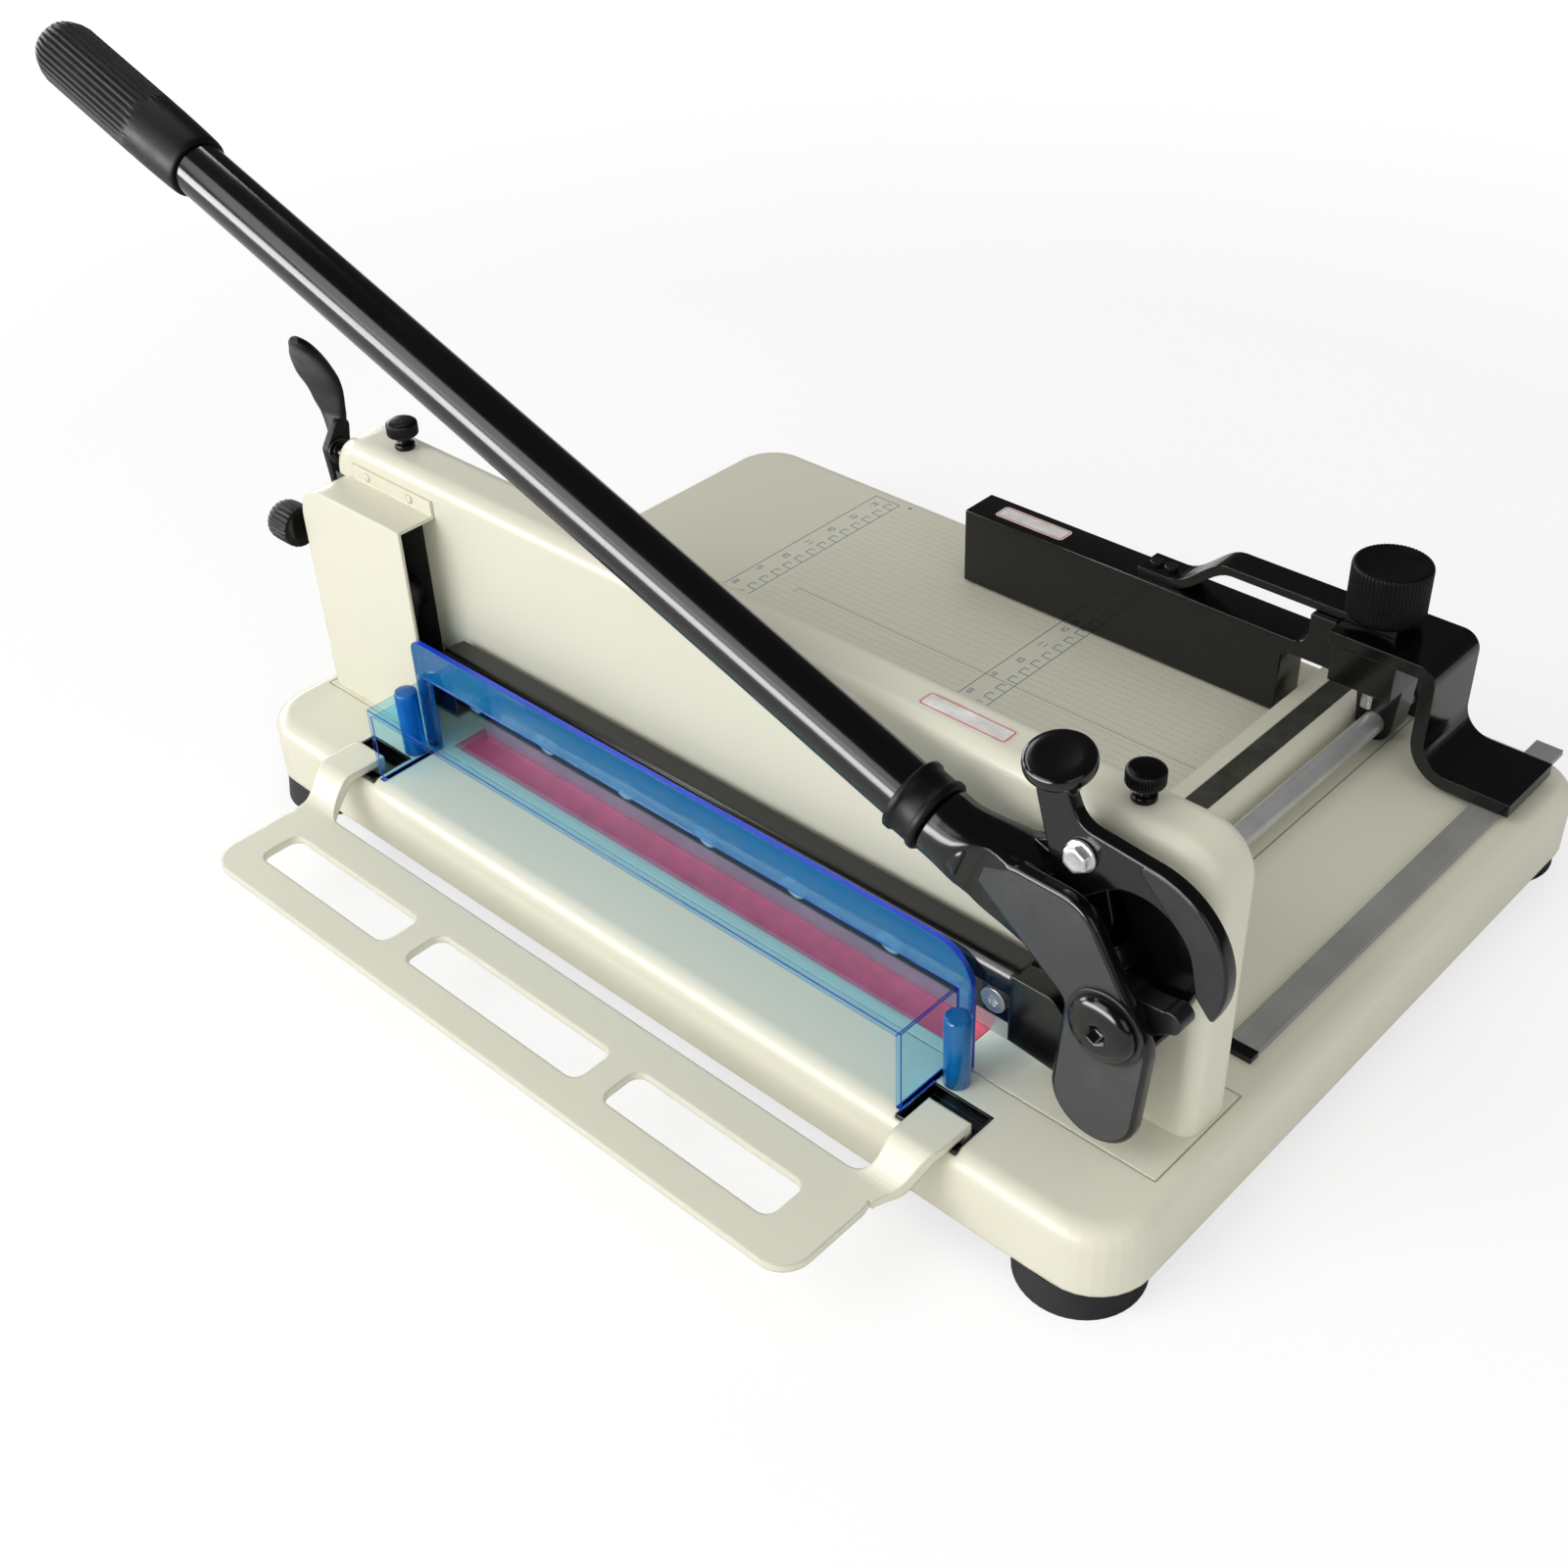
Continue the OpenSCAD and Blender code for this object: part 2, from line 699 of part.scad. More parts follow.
module bridge() {
    color(cream) place() difference() {
        union() {
            difference() {
                bridge_form();
                prism_y(bridge_cavity(), bridge_front + bridge_wall, bridge_rear - bridge_wall);
            }
            intersection() {
                union() {
                    bridge_form();
                    head_rod(pivot, 17, -1, boss_t);
                }
                bridge_bosses();
            }
        }
        block(throat_left, throat_right, bridge_front - 1, bridge_rear + 1, deck - 1, deck + throat_h);
        at_bridge_bolts() rod_z([0, 0], bolt_r + slip_fit, deck - 1, deck + 22);
        head_rod(pivot, pivot_r + run_fit, -bridge_d + bridge_wall, boss_t + 1);
        head_rod(link_pivot, 5 + slip_fit, -9, 1);
        rod_x([shaft_y, shaft_z], bush_r + slip_fit, bridge_left - 1, bridge_left + 10);
        rod_x([shaft_y, shaft_z], bush_r + slip_fit, rib_x - 1, rib_x + rib_t + 1);
        rod_x(release_at, release_pin_r + slip_fit, bridge_left - 1, bridge_left + 15);
        for (x = thumb_x) rod_z([x, bridge_mid], thumb_shank_r + run_fit, bridge_top - 17, bridge_top + 1);
        for (x = cover_screw_x) head_rod([x, cover_screw_z], small_shank_r + slip_fit, -bridge_wall - 1, 1);
    }
}

module bridge_bolts() {
    color(steel) place() at_bridge_bolts() {
        rod_z([0, 0], bolt_r, deck - base_top_t - 1, deck + 20);
        rod_z([0, 0], bolt_head_r, deck - base_top_t - bolt_head_h, deck - base_top_t);
    }
}

cover_top = deck + cover_h;
cover_screw_z = cover_top + 4;
cover_screw_x = [bridge_left + 32, bridge_left + 66];
module left_cover() {
    x1 = bridge_left + cover_w;
    r = cover_corner_r;
    outer = concat([[x1, deck], [x1, cover_top]],
        arc_pts([bridge_left + r, cover_top - r], r, 90, 180), [[bridge_left, deck]]);
    inner = concat([[x1 + 1, deck - 1], [x1 + 1, cover_top - cover_t]],
        arc_pts([bridge_left + r, cover_top - r], r - cover_t, 90, 180),
        [[bridge_left + cover_t, deck - 1]]);
    color(cream) place() difference() {
        union() {
            difference() {
                prism_y(outer, ahead(cover_front), ahead(0));
                prism_y(inner, ahead(cover_front - cover_t), ahead(-1));
            }
            block(bridge_left + r, x1, ahead(cover_t), ahead(0), cover_top - cover_t, cover_top + 8);
        }
        for (x = cover_screw_x) head_rod([x, cover_screw_z], small_shank_r + gap, -1, cover_t + 1);
    }
}

module left_cover_screws() {
    color(steel) place() for (x = cover_screw_x) {
        head_rod([x, cover_screw_z], small_shank_r, -bridge_wall - 2, cover_t + 0.5);
        head_rod([x, cover_screw_z], small_head_r, cover_t, cover_t + 2);
    }
}

module thumb_screw(x) {
    z = bridge_top + gap;
    color(black) place() translate([x, bridge_mid, 0]) {
        rod_z([0, 0], thumb_shank_r, z - 16, z + 1);
        rod_z([0, 0], 5.5, z, z + 3);
        rod_z([0, 0], 3.6, z + 2, z + thumb_neck + 1);
        rod_z([0, 0], thumb_r, z + thumb_neck, z + thumb_neck + thumb_h);
    }
}
module thumb_screw_left() {
    thumb_screw(thumb_x[0]);
}
module thumb_screw_right() {
    thumb_screw(thumb_x[1]);
}

// Lever

module cheek_outline() {
    hull() {
        translate(lobe_mid) circle(lobe_r, $fn = 48);
        translate(pivot) circle(hub_r, $fn = 48);
    }
    hull() {
        translate(waist_mid) circle(waist_r, $fn = 32);
        translate(swell_mid) circle(swell_r, $fn = 48);
        translate(shoulder_mid) circle(shoulder_r, $fn = 48);
        translate(root_mid) circle(root_r, $fn = 32);
    }
}

// The rear cheek has a smaller lobe at the carrier pin and a fuller crown behind the catch's hook
module rear_cheek_outline() {
    hull() {
        translate(pin) circle(pin_lobe_r, $fn = 48);
        translate(pivot) circle(hub_r, $fn = 48);
    }
    hull() {
        translate(crown_mid) circle(crown_r, $fn = 48);
        translate(shoulder_mid) circle(shoulder_r, $fn = 48);
        translate(root_mid) circle(root_r, $fn = 32);
    }
}

module lever_fork() {
    color(dark) place() difference() {
        union() {
            head_plate(front_cheek_0, front_cheek_1) cheek_outline();
            head_plate(rear_cheek_0, rear_cheek_1) rear_cheek_outline();
            head_plate(rear_cheek_0, rear_cheek_1) hull() {
                translate(catch_at) circle(catch_bolt_r + 6, $fn = 32);
                translate(shoulder_mid) circle(shoulder_r - 1, $fn = 48);
            }
            head_plate(rear_cheek_0, front_cheek_1) hull() {
                translate(root_mid) circle(root_r, $fn = 32);
                translate(shoulder_mid + [-9, -4]) circle(shoulder_r - 8, $fn = 32);
            }
            on_lever() rod_z([0, 0], socket_r, socket_start, ferrule_start);
        }
        on_lever() rod_z([0, 0], tube_r + slip_fit, ferrule_start - socket_depth, ferrule_start + 1);
        head_rod(pivot, pivot_r + run_fit, 0, washer_1);
        head_rod(pin, carrier_pin_d / 2 + slip_fit, rear_cheek_0 - 1, front_cheek_1 - 2);
        head_rod(catch_at, catch_bolt_r + slip_fit, 0, rear_cheek_1 + 1);
    }
}

module lever_tube() {
    color(black) place() on_lever() difference() {
        rod_z([0, 0], tube_r, ferrule_start - socket_depth, grip_end - 12);
        rod_z([0, 0], tube_r - tube_wall, ferrule_start - socket_depth - 1, grip_end - 11);
    }
}

module lever_ferrule() {
    color(black) place() on_lever() difference() {
        union() {
            rod_z([0, 0], socket_r, ferrule_start, ferrule_start + ferrule_l);
            rod_z([0, 0], socket_r + 1, ferrule_start + 2, ferrule_start + ferrule_l - 2);
        }
        rod_z([0, 0], tube_r + slip_fit, ferrule_start - 1, ferrule_start + ferrule_l + 1);
    }
}

// Star outline with long ribs around a grip or knob
function rib_pts(r, depth, count) =
    [for (i = [0 : 4 * count - 1]) let (a = 90 * i / count, k = i % 4 < 2 ? r : r - depth) k * [cos(a), sin(a)]];

module lever_grip() {
    rib_start = grip_start + grip_collar_l;
    collar_r = tube_r + 2.5;
    color(black) place() on_lever() difference() {
        union() {
            translate([0, 0, grip_start]) cylinder(r1 = collar_r, r2 = collar_r + 1.5, h = 8);
            translate([0, 0, grip_start + 8])
                cylinder(r1 = collar_r + 1.5, r2 = grip_r + 0.4, h = grip_collar_l - 8);
            prism_z(rib_pts(grip_r, grip_groove, grip_ribs), rib_start - 1, grip_end - dome_r);
            translate([0, 0, grip_end - dome_r]) sphere(dome_r);
        }
        rod_z([0, 0], tube_r + slip_fit, grip_start - 1, grip_end - 12);
    }
}

module pivot_bolt() {
    color(black) place() difference() {
        union() {
            head_rod(pivot, pivot_r, -16, washer_1 + 1);
            translate([pivot[0], ahead(washer_1), pivot[1]]) rotate([90, 0, 0])
                cylinder(r1 = pivot_r + 7, r2 = pivot_r + 2, h = bolt_head_t);
        }
        translate([pivot[0], ahead(washer_1 + bolt_head_t + 1), pivot[1]]) rotate([-90, 0, 0])
            cylinder(r = 5, h = 6, $fn = 6);
    }
}

module pivot_washer() {
    color(black) place() difference() {
        head_rod(pivot, pivot_r + 9, washer_0, washer_1);
        head_rod(pivot, pivot_r + slip_fit, washer_0 - 1, washer_1 + 1);
    }
}

module pivot_nut() {
    color(steel) place() difference() {
        translate([pivot[0], ahead(-9), pivot[1]]) rotate([-90, 0, 0]) cylinder(r = pivot_r + 6, h = 7.5, $fn = 6);
        head_rod(pivot, pivot_r + slip_fit, -20, 0);
    }
}

module pivot_collar() {
    c0 = arm_back;
    c1 = front_cheek_0 - gap;
    color(black) place() difference() {
        union() {
            head_rod(pivot, collar_r, c0, c1);
            head_rod(lug_mid, lug_r, c0 + 2, c1 - 2);
            head_plate(c0 + 2, c1 - 2) polygon(concat(
                arc_pts(pivot, collar_r, -30, 70), arc_pts(lug_mid, lug_r - 0.5, 110, 290)));
        }
        head_rod(pivot, pivot_r + slip_fit, c0 - 1, c1 + 1);
    }
}

// Blade carrier on its two cranks

module carrier_pin() {
    color(steel) place() head_rod(pin, carrier_pin_d / 2, rear_cheek_0, front_cheek_1 - 2);
}

carrier_z = deck + carrier_up;
carrier_top = carrier_z + carrier_h;
screw_pitch = (blade_l - 2 * screw_end) / (screw_count - 1);
function screw_x(i) = blade_left + screw_end + i * screw_pitch;
screw_z = deck + screw_up;

module blade_carrier() {
    rib_z = carrier_top - carrier_rib_h;
    profile = concat(
        [[ahead(blade_front), carrier_z], [ahead(blade_front), carrier_top - 1]],
        arc_pts([ahead(carrier_front - 6), carrier_top - 6], 6, 90, 180),
        arc_pts([ahead(carrier_front - 3), rib_z + 3], 3, 180, 270),
        [[ahead(blade_front + carrier_web_t), rib_z], [ahead(blade_front + carrier_web_t), carrier_z + 2]],
        [[ahead(blade_front + carrier_web_t - 2), carrier_z]]
    );
    color(black) place() difference() {
        union() {
            prism_x(profile, carrier_left, carrier_right);
            head_plate(arm_back, carrier_front) hull() {
                translate([carrier_right - 2, carrier_z]) square([2, carrier_h - 1]);
                translate([carrier_right + 16, carrier_top - 7]) circle(6, $fn = 32);
                translate(pin) circle(carrier_pin_d / 2 + 4.5, $fn = 32);
            }
            head_plate(arm_back, carrier_front) hull() {
                translate([carrier_left, carrier_z]) square([8, carrier_h - 8]);
                translate(link_pin) circle(link_r, $fn = 32);
            }
        }
        head_rod(pin, carrier_pin_d / 2 + run_fit, 0, front_cheek_0);
        head_rod(link_pin, link_pin_d / 2 + run_fit, 0, front_cheek_0);
        for (i = [0 : screw_count - 1])
            head_rod([screw_x(i), screw_z], blade_shank_r + slip_fit, 0, carrier_front);
    }
}

blade_z = deck + blade_lift;
module blade() {
    back = ahead(blade_gap);
    front = ahead(blade_front);
    profile = [[back, blade_z], [back, blade_z + blade_h], [front, blade_z + blade_h],
        [front, blade_z + blade_bevel_h], [back - 0.3, blade_z]];
    color(steel) place() difference() {
        intersection() {
            prism_x(profile, blade_left, blade_right);
            prism_y(rect_pts(blade_left, blade_z - 20, blade_right, blade_z + blade_h, 9), front - 1, back + 1);
        }
        for (i = [0 : screw_count - 1])
            head_rod([screw_x(i), screw_z], blade_shank_r + slip_fit, -1, carrier_front);
    }
}

module blade_screws() {
    face = blade_front + carrier_web_t;
    color(steel) place() for (i = [0 : screw_count - 1]) difference() {
        union() {
            head_rod([screw_x(i), screw_z], blade_shank_r, blade_gap + 0.3, face + 1);
            head_rod([screw_x(i), screw_z], blade_head_r, face, face + blade_head_h);
        }
        translate([screw_x(i), ahead(face + blade_head_h + 1), screw_z]) rotate([-90, 0, 0])
            cylinder(r = 2.8, h = 3, $fn = 6);
    }
}

link_face = rear_cheek_1;
module swing_link() {
    color(dark) place() difference() {
        head_plate(link_back, link_face) hull() {
            translate(link_pivot) circle(link_r, $fn = 32);
            translate(link_pin) circle(link_r, $fn = 32);
        }
        head_rod(link_pivot, 6 + run_fit, 0, 20);
        head_rod(link_pin, link_pin_d / 2 + slip_fit, 0, 20);
    }
}

module link_stud() {
    color(steel) place() {
        head_rod(link_pivot, 5, -12, 1);
        head_rod(link_pivot, link_r - 0.5, gap, link_back - gap);
        head_rod(link_pivot, 6, link_back - 1, link_face);
    }
}

module link_pin() {
    color(steel) place() head_rod(link_pin, link_pin_d / 2, link_back, carrier_front - 0.5);
}

// Safety catch

module safety_catch() {
    crescent = concat(arc_pts(hook_mid, hook_r, 118, -28, 30), arc_pts(hook_inner_mid, hook_inner_r, -20, 96, 24));
    color(black) place() {
        difference() {
            union() {
                head_plate(catch_back, catch_face) polygon(crescent);
                head_plate(catch_back, catch_face) hull() {
                    translate(catch_at) circle(catch_bolt_r + 3.5, $fn = 32);
                    translate(catch_at + [-6, -5]) circle(catch_bolt_r + 4, $fn = 32);
                    translate(hook_mid + [-3, hook_r - 7]) circle(7, $fn = 32);
                    translate(pivot + [6, 57]) circle(6, $fn = 32);
                }
                head_plate(catch_back, catch_face) hull() {
                    translate(catch_at + [-7, -1]) circle(catch_bolt_r + 2.5, $fn = 32);
                    translate(pad_mid + [-0.5, -11]) circle(5, $fn = 32);
                }
            }
            head_rod(catch_at, catch_bolt_r + run_fit, 0, catch_face + 1);
            head_rod(notch_mid, notch_r, 0, catch_face + 1);
        }
        translate([pad_mid[0], ahead(catch_back + catch_t / 2), pad_mid[1]]) rotate([12, 0, 0])
            hull() {
                cylinder(d = pad_d, h = pad_t - 2, $fn = 40);
                translate([0, 0, -9]) cylinder(d = pad_d / 3, h = 1, $fn = 40);
                cylinder(d = pad_d - 5, h = pad_t, $fn = 40);
            }
    }
}

module catch_bolt() {
    face = catch_face + gap;
    color(steel) place() difference() {
        union() {
            head_rod(catch_at, catch_bolt_r, rear_cheek_0, face + 1);
            head_rod(catch_at, 8, face, face + 1.5);
            translate([catch_at[0], ahead(face + 1.4), catch_at[1]]) rotate([90, 0, 0])
                cylinder(r = 7, h = 5, $fn = 6);
        }
        head_rod(catch_at, 1.5, face + 5.5, face + 8);
    }
}

// Paper clamp

clamp_left = clamp_mid_x - clamp_l / 2;
module clamp_bar() {
    x1 = clamp_left + clamp_l;
    color(steel) place() difference() {
        block(clamp_left, x1, clamp_front, clamp_rear, clamp_z, clamp_z + clamp_h);
        for (x = rack_x)
            block(x - rack_w / 2 - slip_fit, x + rack_w / 2 + slip_fit, clamp_front - 1, rack_pitch_y + rack_module,
                clamp_z + clamp_h - 8, clamp_z + clamp_h + 1);
    }
}

// Half of a rack tooth's thickness at a height above the pitch line
function rack_half(h) = (PI * rack_module - backlash) / 4 - h * tan(20);
module clamp_racks() {
    foot_z = clamp_z + clamp_h - 8;
    first = -ceil(12 / (PI * rack_module));
    last = floor((rack_top - shaft_z - 2) / (PI * rack_module));
    base_y = rack_pitch_y - 1.25 * rack_module;
    teeth = [for (i = [first : last], s = [[-1.25, -1], [0.95, -1], [0.95, 1], [-1.25, 1]])
        [rack_pitch_y + s[0] * rack_module,
            shaft_z + i * PI * rack_module + s[1] * rack_half(s[0] * rack_module)]];
    color(steel) place() for (x = rack_x) {
        prism_x(concat([[clamp_front, foot_z], [base_y, foot_z]], teeth,
            [[base_y, rack_top], [clamp_front, rack_top]]), x - rack_w / 2, x + rack_w / 2);
    }
}

// Involute angle at a radius, and half of a pinion tooth's angle there
base_gear_r = pitch_r * cos(20);
function involute(r) = let (t = sqrt(max(0, pow(r / base_gear_r, 2) - 1))) t * 180 / PI - atan(t);
function tooth_half(r) =
    (PI * rack_module - backlash) / 4 / pitch_r * 180 / PI + involute(pitch_r) - involute(r);
flank = [root_gear_r, base_gear_r, pitch_r, (pitch_r + tip_r) / 2, tip_r - 0.05];
function pinion_pts() = [for (i = [0 : pinion_teeth - 1]) let (a = 180 + (i + 0.5) * 360 / pinion_teeth)
    each concat(
        [for (r = flank) r * [cos(a - tooth_half(r)), sin(a - tooth_half(r))]],
        [for (k = [4 : -1 : 0]) flank[k] * [cos(a + tooth_half(flank[k])), sin(a + tooth_half(flank[k]))]])];

module clamp_pinions() {
    color(steel) place() for (x = rack_x) translate([0, shaft_y, shaft_z]) difference() {
        prism_x(pinion_pts(), x - pinion_w / 2, x + pinion_w / 2);
        rod_x([0, 0], shaft_r + slip_fit, x - pinion_w, x + pinion_w);
    }
}

shaft_left = crank_x - 6;
module clamp_shaft() {
    color(steel) place() {
        rod_x([shaft_y, shaft_z], shaft_r, shaft_left, rib_x + rib_t + 2);
        translate([shaft_left - 1, shaft_y, shaft_z]) rotate([0, 90, 0]) cylinder(r = shaft_r + 4, h = 6.8, $fn = 6);
    }
}

module shaft_bushes() {
    color("#a8893c") place() difference() {
        union() {
            rod_x([shaft_y, shaft_z], bush_r, bridge_left + 0.4, bridge_left + 9);
            rod_x([shaft_y, shaft_z], bush_r, rib_x, rib_x + rib_t);
        }
        rod_x([shaft_y, shaft_z], shaft_r + run_fit, bridge_left - 1, rib_x + rib_t + 1);
    }
}

// Saw-tooth outline of the ratchet wheel
function ratchet_pts() = [for (i = [0 : ratchet_teeth - 1]) let (a = pawl_angle + i * 360 / ratchet_teeth)
    each [ratchet_r * [cos(a), sin(a)], (ratchet_r - 3) * [cos(a + 1.5), sin(a + 1.5)]]];
module ratchet_wheel() {
    color(steel) place() translate([0, shaft_y, shaft_z]) difference() {
        prism_x(ratchet_pts(), ratchet_x, ratchet_x + ratchet_t);
        rod_x([0, 0], shaft_r + slip_fit, ratchet_x - 1, ratchet_x + ratchet_t + 1);
    }
}

module clamp_crank() {
    color(black) place() difference() {
        union() {
            translate([crank_x, 0, 0]) rotate([90, 0, 90]) linear_extrude(crank_t) hull() {
                translate([shaft_y, shaft_z]) circle(11, $fn = 32);
                translate(crank_end) circle(8, $fn = 32);
            }
            rod_x(crank_end, 4, crank_x - crank_grip_l + 4, crank_x + 1);
        }
        rod_x([shaft_y, shaft_z], shaft_r + slip_fit, crank_x - 1, crank_x + crank_t + 1);
    }
}

module crank_grip() {
    r = crank_grip_d / 2;
    color(black) place() translate([0, crank_end[0], crank_end[1]]) difference() {
        union() {
            prism_x(rib_pts(r, 0.9, 28), crank_x - crank_grip_l + 3, crank_x - gap);
            translate([crank_x - crank_grip_l, 0, 0]) rotate([0, 90, 0]) cylinder(r1 = r - 3, r2 = r - 0.9, h = 3.1);
        }
        rod_x([0, 0], 4 + slip_fit, crank_x - crank_grip_l + 4, crank_x + 1);
    }
}

// Centre line of the thumb paddle in YZ from the plate up, with its left and right ends in X
paddle = [
    [[-123.5, 190], [-5, 0]], [[-122, 199], [-19, -0.5]], [[-122.6, 211], [-33, -1]],
    [[-127.5, 225], [-34.5, -2.5]], [[-134, 235], [-31, -5]], [[-139, 241.5], [-25, -9]]
];
paddle_r = 2.7;
module release_lever() {
    x0 = ratchet_x;
    x1 = x0 + ratchet_t;
    tip = [shaft_y, shaft_z] + (ratchet_r + 0.5) * [cos(pawl_angle), sin(pawl_angle)];
    up = bridge_top - 191.5;
    back = bridge_mid + 118.55;
    color(black) place() difference() {
        union() {
            translate([x0, 0, 0]) rotate([90, 0, 90]) linear_extrude(ratchet_t) hull() {
                translate(release_at) circle(8.5, $fn = 32);
                translate([back - 124.8, up + 190]) circle(5.6, $fn = 32);
            }
            prism_x(concat([tip], arc_pts(release_at, 8, 262, 205), [tip + [-5, 3]]), x0, x1);
            for (i = [0 : len(paddle) - 2]) hull() for (p = [paddle[i], paddle[i + 1]])
                rod_x(p[0] + [back, up], paddle_r, x1 + p[1][0], x1 + p[1][1], $fn = 24);
        }
        rod_x(release_at, release_pin_r + run_fit, x0 - 1, x1 + 1);
        rod_x(release_at, release_head_r + gap, x0 - 1, x0 + release_head_t);
    }
}

module release_pivot() {
    x0 = ratchet_x;
    color(steel) place() {
        rod_x(release_at, release_pin_r, x0, bridge_left + 14);
        rod_x(release_at, release_head_r, x0 - gap, x0 + release_head_t - gap);
        rod_x(release_at, 7, x0 + ratchet_t + gap, bridge_left);
    }
}

// Guard

// A top plate on two end walls, open in front, with a back wall that stands above it
// and reaches the bed only past the end walls
module guard() {
    z1 = deck + guard_h;
    z0 = z1 - guard_t;
    top = deck + guard_back_h;
    r = 20;
    tab = post_d / 2;
    x0 = guard_left - tab;
    x1 = guard_right + tab;
    back = concat(
        [[x0, deck], [guard_left + guard_t, deck], [guard_left + guard_t, z0]],
        [[guard_right - guard_t, z0], [guard_right - guard_t, deck], [x1, deck]],
        arc_pts([x1 - r, top - r], r, 0, 90), arc_pts([x0 + 6, top - 6], 6, 90, 180));
    color(blue) place() {
        prism_y(back, guard_back - guard_t, guard_back);
        block(guard_left, guard_right, guard_front, guard_back - guard_t + 0.01, z0, z1);
        for (x = [guard_left, guard_right - guard_t])
            block(x, x + guard_t, guard_front, guard_back - guard_t + 0.01, deck, z0 + 0.01);
    }
}

// Posts with plain tops, each held by a screw from under the base
post_bore = post_h - 8;
module guard_posts() {
    color(blue) place() for (x = post_x) difference() {
        rod_z([x, post_y], post_d / 2, deck, deck + post_h);
        rod_z([x, post_y], small_shank_r + 0.5 + slip_fit, deck - 1, deck + post_bore);
    }
}

module guard_screws() {
    color(steel) place() for (x = post_x) {
        rod_z([x, post_y], small_shank_r + 0.5, deck - base_top_t - 0.5, deck + post_bore - 1);
        rod_z([x, post_y], small_head_r + 1, deck - base_top_t - 2.5, deck - base_top_t);
    }
}

// Front plate with its windows and two hooked arms

module plate_window(x0, w) {
    prism_z(rect_pts(x0, plate_front + window_border, x0 + w, plate_rear - window_border - 2, 6),
        plate_top - plate_t - 1, plate_top + 1);
}

// Side view of an arm, from the plate up over the base and down into its slot
module plate_arm(x0) {
    low = plate_top - plate_t;
    lap = deck + 0.2;
    rise = plate_gap - 4;
    y1 = base_front - 2;
    profile = concat(
        [[plate_rear - 8, low], [plate_rear + 2, low]],
        [for (i = [1 : 10]) [plate_rear + 2 + rise * i / 10, low + (lap - low) * (1 - cos(18 * i)) / 2]],
        [[hook_rear - plate_t, lap], [hook_rear - plate_t, deck - slot_depth + trim_t + 1]],
        [[hook_rear, deck - slot_depth + trim_t + 1], [hook_rear, lap + plate_t], [y1 + 2, lap + plate_t]],
        [for (i = [10 : -1 : 0])
            [plate_rear - 1 + rise * i / 10, plate_top + (lap - low) * (1 - cos(18 * i)) / 2]],
        [[plate_rear - 8, plate_top]]
    );
    intersection() {
        prism_x(profile, x0 - 20, x0 + arm_w + 20);
        prism_z(arm_plan(x0), low - 1, deck + 10);
    }
}

// Plan of an arm: straight over the base, with an S-shaped side to the plate's end and a round inner root
function arm_plan(x0) =
    let (left = x0 < base_mid, outer = left ? x0 : x0 + arm_w, inner = left ? x0 + arm_w : x0,
        side = left ? 1 : -1, end = left ? plate_left : plate_right, r = 10,
        y0 = plate_rear - 12, y1 = base_front + 1)
    concat(
        [[outer, hook_rear + 1], [outer, y1]],
        [for (i = [1 : 11]) [outer + (end - outer) * (1 - cos(15 * i)) / 2, y1 + (y0 - y1) * i / 12]],
        [[end, y0], [inner + side * r, y0]],
        [for (i = [0 : 9]) [inner + side * r * (1 - sin(10 * i)), plate_rear + r * (1 - cos(10 * i))]],
        [[inner, hook_rear + 1]]);

module front_plate() {
    mid = (plate_left + plate_right) / 2 - 3.5;
    x_mid = mid - window_mid_w / 2;
    color(cream) place() {
        difference() {
            prism_z(rect_pts(plate_left, plate_front, plate_right, plate_rear, plate_r), plate_top - plate_t, plate_top);
            plate_window(x_mid, window_mid_w);
            plate_window(x_mid - window_bar - window_end_w, window_end_w);
            plate_window(x_mid + window_mid_w + window_bar, window_end_w);
        }
        for (x = arm_left) plate_arm(x);
    }
}

module slot_trims() {
    color(black) place() for (x = slot_left) difference() {
        block(x + 0.1, x + slot_w - 0.1, slot_front + 0.1, slot_rear - 0.1, deck - slot_depth, deck - 0.3);
        block(x + trim_t, x + slot_w - trim_t, slot_front + trim_t, slot_rear - trim_t,
            deck - slot_depth + trim_t, deck + 1);
    }
}

// Side rail, rod and strip on the table

module side_rail() {
    z1 = deck + rail_h;
    profile = concat([[rail_left, deck], [rail_right, deck]],
        arc_pts([rail_right - 7, z1 - 7], 7, 0, 90), arc_pts([rail_left + 1, z1 - 1], 1, 90, 180, 4));
    color(cream) place() difference() {
        prism_y(profile, table_front, rail_rear);
        block(inset_left, inset_left + inset_w, table_front - 1, rail_rear + 1, z1 - inset_t, z1 + 1);
    }
}

module rail_inset() {
    z1 = deck + rail_h;
    color(dark) place()
        block(inset_left + 0.05, inset_left + inset_w - 0.05, table_front, rail_rear, z1 - inset_t, z1 - 0.3);
}

rod_front = table_front;
rod_rear = rail_rear;
module guide_rod() {
    color(steel) place() rod_y([rod_x, rod_z], rod_r, rod_front, rod_rear);
}

module rod_supports() {
    half = rod_r + 2.5;
    color(dark) place() for (y = [rod_front, rod_rear - support_t]) difference() {
        union() {
            rod_y([rod_x, rod_z], half, y, y + support_t);
            block(rod_x - half, rod_x + half, y, y + support_t, deck, rod_z);
        }
        rod_y([rod_x, rod_z], rod_r + slip_fit, y - 1, y + support_t + 1);
    }
}

module steel_strip() {
    color(steel) place()
        block(strip_left, strip_left + strip_w, strip_front, strip_rear, deck, deck + strip_t);
}

module strip_cap() {
    color(black) place()
        block(strip_left - 0.3, strip_left + strip_w + 0.3, strip_front - cap_l, strip_front, deck, deck + strip_t);
}

// Back gauge

